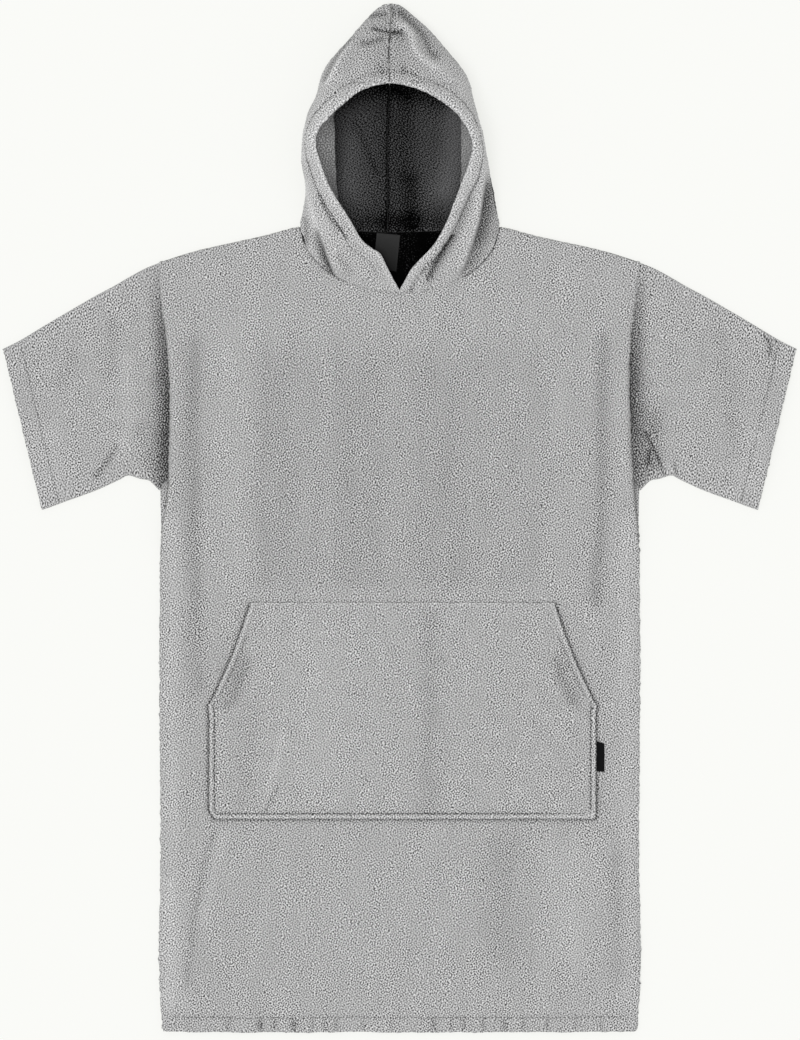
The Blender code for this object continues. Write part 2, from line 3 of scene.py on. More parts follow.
import bpy
import numpy as np
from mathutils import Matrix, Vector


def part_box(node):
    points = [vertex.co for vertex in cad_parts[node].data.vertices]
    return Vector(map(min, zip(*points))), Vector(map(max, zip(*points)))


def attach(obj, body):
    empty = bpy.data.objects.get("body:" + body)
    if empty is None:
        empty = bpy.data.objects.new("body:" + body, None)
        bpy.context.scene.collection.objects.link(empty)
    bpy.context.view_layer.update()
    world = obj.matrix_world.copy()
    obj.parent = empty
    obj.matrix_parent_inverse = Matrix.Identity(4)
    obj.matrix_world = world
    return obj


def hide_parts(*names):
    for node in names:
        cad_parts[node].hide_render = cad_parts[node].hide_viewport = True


# A hooded towelling poncho laid face up on a pale floor. +X runs across to the right sleeve, +Y from
# the hem to the tip of the hood, +Z up. Sizes are in metres, and in millimetres where a table says so.
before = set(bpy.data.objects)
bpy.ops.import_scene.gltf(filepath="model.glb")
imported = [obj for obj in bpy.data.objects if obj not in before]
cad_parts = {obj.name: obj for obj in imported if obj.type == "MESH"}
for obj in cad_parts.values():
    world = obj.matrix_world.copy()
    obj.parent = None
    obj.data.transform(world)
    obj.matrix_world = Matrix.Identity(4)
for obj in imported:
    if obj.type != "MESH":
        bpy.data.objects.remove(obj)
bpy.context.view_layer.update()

cloth = {
    "thick": 0.003,  # towelling with its loops pressed down
    "gap": 0.0003,
    "mesh": 0.0028,  # spacing of the points on a large panel
    "insideShare": 6,  # spaces of the outer face for each one of a hidden inner face
    "loopRise": 0.00010,  # unevenness of the pile from point to point
    "clumpRise": 0.00008,
    "clumpLength": 0.008,
    "sideShare": 3.5,  # how much more the loops stand out where the cloth is steep
    "edgeRise": 0.00045,  # unevenness of the loops past an edge
    "swell": 0.0004,  # soft unevenness of a panel
    "swellLength": 0.060,
    "toneRise": 0.015,  # slow changes of lightness, as a share
    "toneLength": 0.03,
}
halfCloth = cloth["thick"] / 2
sideWord = {-1: "left", 1: "right"}


def tableOf(columns, *rows):
    # one array in metres for each named column of a table in millimetres: each column divided by 1000
    return {name: column / 1000 for name, column in zip(columns.split(), np.array(rows, float).T)}


def inMetres(rows, kept=0):
    # rows of sizes and points in millimetres, all but the first kept values of each row
    if isinstance(rows, dict):
        return {side: inMetres(part, kept) for side, part in rows.items()}
    return [row[:kept] + tuple(np.array(value) / 1000 for value in row[kept:]) for row in rows]


def curveThrough(xs, ys, at):
    # Cubic between neighbouring points; the slope at each comes from the points on both sides of it.
    slope = np.gradient(ys, xs)
    i = np.clip(np.searchsorted(xs, at, side="right") - 1, 0, len(xs) - 2)
    step = xs[i + 1] - xs[i]
    t = np.clip((at - xs[i]) / step, 0, 1)
    level = ys[i] * (1 + 2 * t) * (1 - t) ** 2 + ys[i + 1] * t**2 * (3 - 2 * t)
    return level + step * (slope[i] * t * (1 - t) ** 2 + slope[i + 1] * t**2 * (t - 1))


def ease(t):
    # 0 up to t = 0 and 1 from t = 1, level at both ends
    t = np.clip(t, 0, 1)
    return t * t * (3 - 2 * t)


def roundOver(inside, radius, drop):
    # quarter of an ellipse: how far a surface has dropped this far inside its edge
    short = np.clip(1 - inside / radius, 0, 1)
    return drop * (1 - np.sqrt(1 - short**2))


def groove(offset, width):
    # bell of height 1 along a line, offset being the distance from it
    return np.exp(-((offset / width) ** 2))


def softLine(offset, height, width):
    # a bell of that height and half width across a line
    return height * groove(offset, width)


def hemStep(past, height, ahead, width):
    # Height of a hem that is raised up to its stitches, past being the distance beyond them: it starts
    # to drop this far ahead of them, and is level with the cloth after the width.
    return height * (1 - ease((past + ahead) / width))


def waves(x, y, length, seed, count=28):
    # Even unevenness with a spread of 1: plane waves of about that length in random directions.
    draw = np.random.default_rng(seed)
    total = np.zeros(np.broadcast(x, y).shape)
    for heading, stretch, start in draw.uniform((0, 0.7, 0), (2 * pi, 1.5, 2 * pi), (count, 3)):
        pace = 2 * pi / (length * stretch)
        total += np.cos(pace * (x * np.cos(heading) + y * np.sin(heading)) + start)
    return total * sqrt(2 / count)


def alongLine(points, x, y):
    # Distance from the smooth line through the points, above 0 on its right, and how far along it the
    # nearest place is, from 0 to 1.
    points = np.array(points, float)
    place = np.arange(len(points), dtype=float)
    at = np.linspace(0, place[-1], 6 * len(points) - 5)
    line = np.stack([curveThrough(place, points[:, 0], at), curveThrough(place, points[:, 1], at)], 1)
    nearest, offset, share = np.full(x.shape, 9.0), np.zeros(x.shape), np.zeros(x.shape)
    for i, ((x0, y0), (x1, y1)) in enumerate(zip(line[:-1], line[1:])):
        runX, runY = x1 - x0, y1 - y0
        t = np.clip(((x - x0) * runX + (y - y0) * runY) / (runX**2 + runY**2), 0, 1)
        away = np.hypot(x - x0 - t * runX, y - y0 - t * runY)
        closer = away < nearest
        side = np.where((x - x0) * runY - (y - y0) * runX > 0, 1, -1)
        nearest = np.where(closer, away, nearest)
        offset = np.where(closer, away * side, offset)
        share = np.where(closer, (i + t) / (len(line) - 1), share)
    return offset, share


def creases(rows, x, y):
    # Height of soft folds. Each row is a ridge, or a trough where its height is below 0: a bell across
    # its line, with its own half width on the left and on the right, that runs out in a half circle
    # past either end.
    total = np.zeros_like(x)
    for height, left, right, *points in rows:
        offset, _ = alongLine(points, x, y)
        total += height * np.exp(-((offset / np.where(offset > 0, right, left)) ** 2))
    return total


def cliffs(rows, x, y):
    # Height of folded edges, and how deep in the recess beside them a place is. Each row is a ridge
    # left of its line, that drops within the given edge to a trough on the right.
    total, recess = np.zeros_like(x), np.zeros_like(x)
    for rise, sink, left, right, edge, *points in rows:
        offset, share = alongLine(points, x, y)
        ends = ease(share / 0.25) * ease((1 - share) / 0.2)
        over = rise * np.exp(-((np.minimum(offset, 0) / left) ** 2))
        under = np.exp(-((np.maximum(offset - edge, 0) / right) ** 2))
        drop = ease(offset / edge)
        total += ends * (over * (1 - drop) - sink * under * drop)
        recess = np.maximum(recess, ends * under * drop)
    return total, recess


def unit(vectors):
    # each vector divided by its length
    return vectors / np.maximum(np.linalg.norm(vectors, axis=-1, keepdims=True), 1e-12)


def unevenTone(x, y, seed):
    # slow changes of lightness from place to place, as a share
    return cloth["toneRise"] * waves(x, y, cloth["toneLength"], seed)


def normalsOf(points, around=False):
    # columns crossed with rows; on a tube the columns close up
    if around:
        across = np.roll(points, -1, axis=1) - np.roll(points, 1, axis=1)
    else:
        across = np.gradient(points, axis=1)
    return unit(np.cross(across, np.gradient(points, axis=0)))


def spaced(start, end, step, share=1, others=0):
    # even places from start to end, at most step apart; with the other spaces of the grid, the spaces
    # are a multiple of share
    spaces = int(np.ceil(abs(end - start) / step))
    spaces += -(spaces + others) % share
    return np.linspace(start, end, spaces + 1)


def gridFaces(rows, columns, first, around=False):
    # four-sided faces between neighbouring points of a grid, whose points are numbered row by row
    grid = first + np.arange(rows * columns).reshape(rows, columns)
    if around:
        grid = np.concatenate([grid, grid[:, :1]], axis=1)
    return np.stack([grid[:-1, :-1], grid[:-1, 1:], grid[1:, 1:], grid[1:, :-1]], -1).reshape(-1, 4)


def borders(rows, columns, first, around=False):
    # the closed lines of points round a grid, in the direction of its faces
    grid = first + np.arange(rows * columns).reshape(rows, columns)
    if around:
        return [grid[0], grid[-1, ::-1]]
    return [np.concatenate([grid[0, :-1], grid[:-1, -1], grid[-1, :0:-1], grid[:0:-1, 0]])]


def bridge(fine, coarse):
    # Triangles between two closed lines, where the first has a whole number of points to each of the
    # second's.
    share = len(fine) // len(coarse)
    across = ((np.arange(len(fine)) + 0.5) / share + 0.5).astype(int) % len(coarse)
    before = np.roll(across, 1)
    fan = np.stack([np.roll(fine, -1), fine, coarse[across]], 1)
    moves = across != before
    return np.concatenate([fan, np.stack([fine[moves], coarse[before[moves]], coarse[across[moves]]], 1)])


def meshOf(name, points, quads, triangles, finishes, quadFinish):
    # a mesh from its points, four-sided and three-sided faces, and the finish of each face
    mesh = bpy.data.meshes.new(name)
    mesh.vertices.add(len(points))
    mesh.vertices.foreach_set("co", points.astype(np.float32).ravel())
    corners = np.concatenate([quads.ravel(), triangles.ravel()])
    mesh.loops.add(corners.size)
    mesh.loops.foreach_set("vertex_index", corners.astype(np.int32))
    starts = np.concatenate([4 * np.arange(len(quads)), quads.size + 3 * np.arange(len(triangles))])
    mesh.polygons.add(len(starts))
    mesh.polygons.foreach_set("loop_start", starts.astype(np.int32))
    finish = np.zeros(len(starts), np.int32)
    finish[: len(quads)] = quadFinish
    mesh.polygons.foreach_set("material_index", finish)
    for material in finishes:
        mesh.materials.append(material)
    mesh.update(calc_edges=True)
    mesh.shade_smooth()
    made = bpy.data.objects.new(name, mesh)
    bpy.context.scene.collection.objects.link(made)
    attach(made, "root")
    return made


def acrossCloth(grid):
    # places on the cloth: across, the length along each row from its middle, and along the body
    steps = np.linalg.norm(np.diff(grid[..., ::2], axis=1), axis=-1)
    length = np.pad(np.cumsum(steps, axis=1), ((0, 0), (1, 0)))
    centre = grid.shape[1] // 2
    return np.stack([length - length[:, [centre]] + grid[:, [centre], 0], grid[..., 1]], -1)


def clothPiece(
    name, node, outer, inner, finishes, around=False, tone=0, innerTone=0, innerFinish=1, places=None
):
    # A closed wall of cloth between two grids of points, bridged along their borders. The first finish
    # is for its outer face and edges, the second for its inner face. tone and innerTone: how much
    # lighter each face is from point to point, as a share: the cloth's own uneven tone together with
    # painted shade and painted highlights. places: where each point of the outer face is on the cloth
    # itself, for the loops.
    count = outer.shape[0] * outer.shape[1]
    outerFaces = gridFaces(*outer.shape[:2], 0, around)
    innerFaces = gridFaces(*inner.shape[:2], count, around)[:, ::-1]
    lines = zip(borders(*outer.shape[:2], 0, around), borders(*inner.shape[:2], count, around))
    edges = np.concatenate([bridge(fine, coarse) for fine, coarse in lines])
    points = np.concatenate([outer.reshape(-1, 3), inner.reshape(-1, 3)])
    quads = np.concatenate([outerFaces, innerFaces])
    innerFinish = np.zeros(len(innerFaces), int) + innerFinish
    quadFinish = np.concatenate([np.zeros(len(outerFaces), int), innerFinish])
    made = meshOf(name, points, quads, edges, finishes, quadFinish)
    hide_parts(node)

    tones = np.concatenate([(tone + 0 * outer[..., 0]).ravel(), (innerTone + 0 * inner[..., 0]).ravel()])
    places = outer[..., :2] if places is None else places
    rowShare, columnShare = ((m - 1) // (n - 1) for m, n in zip(outer.shape[:2], inner.shape[:2]))
    weave = np.concatenate([places.reshape(-1, 2), places[::rowShare, ::columnShare].reshape(-1, 2)])
    weave = np.pad(weave, ((0, 0), (0, 1)))
    layers = {"tone_and_painted_light": ("FLOAT", "value", tones), "weave": ("FLOAT_VECTOR", "vector", weave)}
    for layer, (kind, key, values) in layers.items():
        attribute = made.data.attributes.new(layer, kind, "POINT")
        attribute.data.foreach_set(key, values.astype(np.float32).ravel())
    print(f"{name}: {2 * len(quads) + len(edges)} triangles")
    return made


def pile(points, normals, seed, share=1.0, sides=cloth["sideShare"]):
    # the looped pile: every point moved along its normal, in small clumps and from point to point
    x, y = points[..., 0] + 0.7 * points[..., 2], points[..., 1] + 0.7 * points[..., 2]
    draw = np.random.default_rng(seed)
    rise = cloth["loopRise"] * draw.normal(size=x.shape)
    rise += cloth["clumpRise"] * waves(x, y, cloth["clumpLength"], seed + 1)
    fuller = 1 + sides * (1 - np.abs(normals[..., 2])) ** 2  # loops stand out at the sides
    return points + normals * (share * np.clip(rise * fuller, -0.0009, 0.0012))[..., None]


def ragged(outer, inside, direction, seed, reach=0.0022):
    # loops past a cut or turned edge: the points near it move along the direction, each by its own amount
    draw = np.random.default_rng(seed).normal(size=inside.shape)
    draw = 0.65 * (draw + np.roll(draw, 1, 0) + np.roll(draw, 1, 1))
    shift = cloth["edgeRise"] * draw * groove(inside, reach)
    return outer + np.array(direction) * shift[..., None]


thread = {"step": 0.0055, "length": 0.0030, "radius": 0.00055, "bow": 0.0003}


def seamLine(points, distance, value):
    # where the distance, that grows along each row of points, passes the value
    rows = np.arange(len(points))
    after = np.clip((distance < value).sum(axis=1), 1, points.shape[1] - 1)
    low, high = distance[rows, after - 1], distance[rows, after]
    share = np.clip((value - low) / (high - low), 0, 1)[:, None]
    return points[rows, after - 1] * (1 - share) + points[rows, after] * share


def stitches(name, lines, finish, ups=None):
    # A thread on each line of points: short bowed pieces with six sides that taper to both ends. ups:
    # which way the cloth faces along each line, where that isn't straight up.
    ups = ups or [np.array([0, 0, 1]) + 0 * line for line in lines]
    turn = np.arange(6) * pi / 3
    half = np.array([-1, -0.6, 0, 0.6, 1])
    thickness = thread["radius"] * np.array([0.3, 0.9, 1, 0.9, 0.3])
    parts = []
    for line, up in zip(lines, ups):
        length = np.pad(np.cumsum(np.linalg.norm(np.diff(line, axis=0), axis=-1)), (1, 0))
        middle = np.arange(thread["step"], length[-1] - thread["step"], thread["step"])
        at = middle[:, None] + half * thread["length"] / 2
        path = np.stack([np.interp(at, length, line[:, i]) for i in range(3)], -1)
        facing = unit(np.stack([np.interp(at, length, up[:, i]) for i in range(3)], -1))
        aside = unit(np.cross(path[:, -1:] - path[:, :1], facing))
        path = path + facing * (thread["bow"] * (1 - half**2))[:, None]
        ring = aside[:, :, None] * np.cos(turn)[:, None] + facing[:, :, None] * np.sin(turn)[:, None]
        parts.append(path[:, :, None] + ring * thickness[:, None, None])
    points = np.concatenate(parts)
    first = np.arange(len(points))[:, None, None] * points[0, ..., 0].size
    quads = (first + gridFaces(5, 6, 0, True)).reshape(-1, 4)
    fan = np.stack([np.zeros(4, int), np.arange(1, 5), np.arange(2, 6)], 1)
    ends = np.concatenate([fan[:, ::-1], fan + 24])
    made = meshOf(name, points.reshape(-1, 3), quads, (first + ends).reshape(-1, 3), [finish], 0)
    print(f"{name}: {len(points)} stitches")
    return made


def edgeRow(low, high, step, share):
    # places from low to high, closer together at both ends; the spaces are a multiple of share
    near = np.array([0, 0.0003, 0.0009, 0.0018, 0.0030])
    even = spaced(low + near[-1], high - near[-1], step, share, 2 * len(near) - 2)[1:-1]
    return np.concatenate([low + near, even, high - near[::-1]])


def grey(level):
    # the same share of red, green and blue
    return (level, level, level)


cottonLooks = {
    "outside": {"loop": grey(0.80), "gap": grey(0.02), "sheen": 0.15, "fill": 1.0},
    # turned: a darker, flatter copy of the same towelling, painted shade for the hem turned in under the
    # hood's rim
    "turned": {"loop": grey(0.54), "gap": grey(0.15), "sheen": 0.1, "fill": 1.0},
    # inside: dark terry for the inner faces, its darkness partly the cloth's own and partly painted shade for
    # the hollow of the hood
    "inside": {"loop": (0.153, 0.153, 0.156), "gap": grey(0.0), "sheen": 0.02, "fill": 0.75},
    # headings of the rows of loops, in radians, and the spaces between rows
    "rows": ((0.12, 0.0033), (0.62, 0.0031), (1.15, 0.0034), (2.02, 0.0032), (2.55, 0.0035)),
    "crests": (1.02, 3.98),  # the least and the most that the rows add up to
    "sway": 5.4,  # how far, in radians, the rows wander
    "swayPace": 1.4,
    "patchPace": (42.0, 17.0, 1.0),  # changes of the pile for each metre across and along
    "patchDepth": (0.72, 1.2),
    "patchTone": (0.97, 1.03),
    "bump": 0.0006,
}


def feed(tree, node, inputs):
    # each input of a node is a value or the socket that it comes from
    for name, value in inputs.items():
        if isinstance(value, bpy.types.NodeSocket):
            tree.links.new(value, node.inputs[name])
        else:
            node.inputs[name].default_value = value
    return node


def nodeOf(tree, kind, inputs=None, **settings):
    # a shader node with its settings and inputs
    made = tree.nodes.new(f"ShaderNode{kind}")
    for name, value in settings.items():
        setattr(made, name, value)
    return feed(tree, made, inputs or {})


def finishOf(name):
    # a new finish, with the tree that its nodes go in and its surface shader
    made = bpy.data.materials.new(name)
    made.use_nodes = True
    return made, made.node_tree, made.node_tree.nodes["Principled BSDF"]


def mathOf(tree, operation, *inputs):
    # the result of one sum on values or sockets
    return nodeOf(tree, "Math", dict(enumerate(inputs)), operation=operation).outputs[0]


def fromTo(tree, value, low, high, toLow, toHigh):
    # a value between low and high becomes one between toLow and toHigh
    ends = {"Value": value, "From Min": low, "From Max": high, "To Min": toLow, "To Max": toHigh}
    return nodeOf(tree, "MapRange", ends).outputs["Result"]


def toned(tree, tone, share, first, second):
    # a mix of two colours, made lighter or darker by the tone
    colours = {0: share, 6: (*first, 1), 7: (*second, 1)}
    mixed = nodeOf(tree, "Mix", colours, data_type="RGBA", clamp_factor=True).outputs[2]
    level = nodeOf(tree, "CombineColor", dict.fromkeys(range(3), tone)).outputs[0]
    product = {0: 1.0, 6: mixed, 7: level}
    times = {"data_type": "RGBA", "clamp_factor": True, "blend_type": "MULTIPLY"}
    return nodeOf(tree, "Mix", product, **times).outputs[2]


def attributeNode(tree, name, socket):
    # a value that each point of the mesh carries
    return nodeOf(tree, "Attribute", attribute_name=name).outputs[socket]


def raised(tree, height, distance, strength=1.0):
    # a surface direction tilted by a pattern's height
    bump = {"Height": height, "Distance": distance, "Strength": strength}
    return nodeOf(tree, "Bump", bump).outputs["Normal"]


def terryFinish(name, look):
    # Looped cotton: wandering rows of loops in five directions add up to spots, each crest a loop and
    # each hollow the dark gap beside it; slow noise makes the pile fuller or flatter from place to place.
    made, tree, shader = finishOf(name)
    weave = attributeNode(tree, "weave", "Vector")
    total = 0.0
    for heading, length in cottonLooks["rows"]:
        turn = {"Vector": weave, "Rotation": (0, 0, heading), "Location": (0, heading, 0)}
        row = {
            "Vector": nodeOf(tree, "Mapping", turn).outputs["Vector"],
            "Scale": pi / 10 / length,
            "Distortion": cottonLooks["sway"],
            "Detail": 0.0,
            "Detail Scale": cottonLooks["swayPace"],
        }
        crest = nodeOf(tree, "TexWave", row).outputs["Fac"]
        total = mathOf(tree, "ADD", total, crest)
    spot = fromTo(tree, total, *cottonLooks["crests"], 0.0, 1.0)
    bands = nodeOf(tree, "Mapping", {"Vector": weave, "Scale": cottonLooks["patchPace"]}).outputs["Vector"]
    patches = nodeOf(tree, "TexNoise", {"Vector": bands, "Scale": 1.0, "Detail": 2.0}).outputs["Fac"]
    depth = fromTo(tree, patches, 0.35, 0.65, *cottonLooks["patchDepth"])
    crown = mathOf(tree, "MULTIPLY_ADD", mathOf(tree, "SUBTRACT", spot, 0.5), depth, 0.5)
    # the painted shade and highlights, with the cloth's own uneven tone, as how much lighter the pile is:
    # half by lighter loops and half by narrower gaps
    fill = mathOf(tree, "MULTIPLY", mathOf(tree, "ADD", attributeNode(tree, "tone_and_painted_light", "Fac"), 1.0), look["fill"])
    shade = mathOf(tree, "SQRT", fill)
    tip = mathOf(tree, "SUBTRACT", 1.0, mathOf(tree, "DIVIDE", mathOf(tree, "SUBTRACT", 1.0, crown), shade))
    tone = mathOf(tree, "MULTIPLY", fromTo(tree, patches, 0.3, 0.7, *cottonLooks["patchTone"]), shade)
    looks = {
        "Base Color": toned(tree, tone, tip, look["gap"], look["loop"]),
        "Normal": raised(tree, crown, cottonLooks["bump"], 0.9),
        "Roughness": 0.95,
        "Specular IOR Level": look["sheen"],
        "Sheen Weight": look["sheen"],
        "Sheen Roughness": 0.6,
    }
    feed(tree, shader, looks)
    return made


def tapeFinish(name, colour, roughness):
    # plain woven tape: two crossed sets of fine ribs
    made, tree, shader = finishOf(name)
    place = nodeOf(tree, "TexCoord").outputs["Object"]
    ribs = [
        nodeOf(tree, "TexWave", {"Vector": place, "Scale": pace}, bands_direction=way).outputs["Fac"]
        for way, pace in (("Y", 400.0), ("X", 520.0))
    ]
    weave = mathOf(tree, "MULTIPLY", *ribs)
    # painted shade carried by the points, darker further in on the label
    tone = mathOf(tree, "ADD", attributeNode(tree, "tone_and_painted_light", "Fac"), 1.0)
    looks = {
        "Base Color": toned(tree, tone, weave, tuple(0.6 * c for c in colour), colour),
        "Normal": raised(tree, weave, 0.0002),
        "Roughness": roughness,
        "Specular IOR Level": 0.15,
    }
    feed(tree, shader, looks)
    return made


greyTerry = terryFinish("grey_terry", cottonLooks["outside"])
# the same towelling darkened as painted shade, for the facing inside the hood
shadedTurnedTerry = terryFinish("shaded_turned_terry", cottonLooks["turned"])
darkTerry = terryFinish("dark_terry_inside", cottonLooks["inside"])
blackTape = tapeFinish("black_tape", (0.004, 0.004, 0.005), 0.8)
darkThread = tapeFinish("dark_thread", grey(0.04), 0.6)
lightThread = tapeFinish("light_thread", grey(0.24), 0.6)
greyTape = tapeFinish("grey_satin_tape", grey(0.04), 0.7)
bothFaces = [greyTerry, darkTerry]

body = {
    "hemY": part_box("body_front")[0].y,
    "half": 0.327,
    "neckHalf": 0.1358,
    "armholeX": 0.328,
    "neckY": 0.3975,  # where neck and shoulder meet
    "neckFrontY": 0.3075,
    "straightY": 0.100,  # below this the rows run straight across
    "highRows": 84,  # from there to the shoulders
    "frontMid": 0.0060,  # middle of the front above the floor, away from its seams
    "backMid": halfCloth,
    "sideRadius": 0.006,  # the front's side turns down to the back in this width
    "rollReach": 0.030,  # how far in from the armhole the front stands up
    "neckMid": (0.0085, 0.0075),  # height at the neck's edge, in its middle and at its sides
    "neckReach": 0.028,
    "foldsClear": 0.030,  # where the folds start outside the pocket
    "hemDepth": 0.021,
    "hemRise": (0.0012, 0.001, 0.004),  # height, and where the hem drops to the plain cloth
    "hemLift": (0.0018, 0.27, 0.05),  # of the hem's corners, from where on and within what width
    "hemWander": (0.0004, 0.07),  # of the hem's line: height and length of its waves
    "hemRows": (0, 0.0006, 0.0016, 0.0030, 0.0048),  # close rows along the hem's rounded edge
    "sideTurn": (76, 62, 48, 34, 20, 6, -10, -28, -48, -70),  # columns round the side, in degrees
    "hemRound": (0.0035, 0.0030),  # of the hem's lower edge: radius and drop
    "puckerLength": 0.019,
    "puckerRise": 0.0011,
    # painted shade in the dents of the hem, as a share
    "puckerShade": 0.42,
    "dentsAt": (0.010, 0.009),  # height of the dents over the hem's edge, and their half length
    "puckersAt": (0.013, 0.008),
    # soft lines along the stitches: depth, or how dark the painted shade in them is, and half width
    "hemDip": (0.0007, 0.0022),
    "hemShade": (0.05, 0.0018),
    "neckDip": (0.0010, 0.0034),
    "neckShades": ((0.06, 0.0035), (0.5, 0.0016)),
    # the neck's seam gets a painted dark line of shade in these places
    "seamShows": (-0.110, -0.074, 0.088),  # the neck's seam is dark between the first two and past the third
    # painted shade on the front's turned edge below the underarm
    "underarmShade": 0.55,
    "underarm": (-0.060, 0.075),  # lowest and highest place of that shade
    "napRise": (0.012, 0.030),  # slow changes of lightness: share and length
    "backMesh": 0.0045,
    "backRows": (170, 56),  # up to straightY, and from there to the shoulders
    "darkFrom": 0.030,  # how far inside its edge the back's upper face turns dark
    "backRound": (0.004, 0.0012),
}
shoulder = tableOf(
    "x y",
    (135.8, 397.5),
    (150, 394.5),
    (184, 385.5),
    (236, 374.2),
    (284, 363),
    (328, 349),
)
# Side edges of the front, drawn in along the armhole, and of the back, in mm. roll: how far the front
# stands up along the armhole. tuck: height of its hidden edge there.
belowArmhole = (
    (-704, 321.5, 0, 2.6),
    (-683, 324, 0, 2.6),
    (-450, 325.5, 0.6, 2.6),
    (-100, 326.5, 2, 2.6),
    (-26, 325, 5, 3.2),
)
frontEdge = {
    -1: tableOf(
        "y half roll tuck",
        *belowArmhole,
        (36, 316, 14, 7.8),
        (100, 313.6, 18, 8.6),
        (161, 312.6, 16, 8.2),
        (243, 317.4, 10, 7.6),
        (298, 325.3, 4, 6),
        (350, 328, 0, 4),
    ),
    1: tableOf(
        "y half roll tuck",
        *belowArmhole,
        (36, 319.1, 15, 7.8),
        (72, 316.3, 18.5, 8.6),
        (128, 313.6, 17, 8.6),
        (195, 312.3, 14, 8),
        (251, 315, 9, 7.6),
        (295, 320.4, 4, 6),
        (350, 328, 0, 4),
    ),
}
backEdge = tableOf(
    "y half",
    (-704, 319.5),
    (-450, 322.5),
    (-60, 325),
    (36, 327.5),
    (350, 327.5),
)
# dents along the hem: where and how wide in mm, and how deep as a share
hemDents = (
    (-290, 3, 0.4), (-235, 4, 0.6), (-190.5, 4, 1.2), (-170.7, 3, 0.8), (-144.7, 4.5, 1.1),
    (-118.7, 2, 0.8), (-102.3, 3, 0.7), (-87.2, 3, 0.7), (-50, 3, 0.4), (-12, 3, 0.5),
    (46.9, 4, 0.7), (70.1, 3, 0.7), (87.9, 3, 0.8), (113.9, 3, 0.8), (144, 4, 0.9),
    (168.6, 3, 0.6), (201.5, 2, 1.0), (240, 3, 0.4), (275, 3, 0.5),
)
# height, half width on the left and on the right looking along the line, points of the line, all in mm
frontFolds = inMetres([
    (-2.2, 14, 16, (-270, 240), (-272, 40), (-275, -120), (-268, -250)),
    (-2.2, 14, 14, (266, 240), (268, 40), (262, -100)),
    (1.8, 20, 20, (-236, 240), (-240, 0)),
    (2, 30, 14, (-95, 235), (-96, 60), (-97, -100)),
    (1.8, 12, 12, (0, 230), (2, 60), (1, -100)),
    (2, 14, 30, (96, 235), (97, 60), (96, -100)),
    (2.2, 26, 26, (170, 300), (176, 120), (170, -60)),
    (3, 16, 10, (-252, -430), (-276, -500), (-291, -640)),
    (-1.6, 9, 12, (-262, -432), (-287, -505), (-302, -620)),
    (3, 30, 30, (225, -440), (222, -560), (232, -650)),
    (-2.8, 30, 34, (140, -430), (138, -520), (150, -620)),
    (2.2, 20, 24, (280, -430), (300, -600)),
    (2, 30, 30, (-50, -430), (-55, -600)),
    (-1.6, 30, 30, (-120, -430), (-110, -640)),
])


def edgeOf(column, x, y):
    # a curve through one column of frontEdge, on the left and on the right of the middle
    left, right = (curveThrough(frontEdge[side]["y"], frontEdge[side][column], y) for side in (-1, 1))
    return np.where(x < 0, left, right)


def frontNeckY(x):
    # half an ellipse
    across = np.clip(np.abs(x) / body["neckHalf"], 0, 1)
    return body["neckY"] - (body["neckY"] - body["neckFrontY"]) * np.sqrt(1 - across**2)


def shoulderY(x):
    # a curve through the shoulder's points, the same on both sides
    return curveThrough(shoulder["x"], shoulder["y"], np.abs(x))


def hemPuckers(along, seed):
    # short dents along a stitched edge, uneven in length and depth
    return np.clip(0.5 + 0.8 * waves(along, 0 * along, body["puckerLength"], seed), 0, 1.6)


def neckSides(x):
    # where the seam at the neck gets a painted dark line of shade
    return (x > body["seamShows"][2]) | ((x < body["seamShows"][1]) & (x > body["seamShows"][0]))


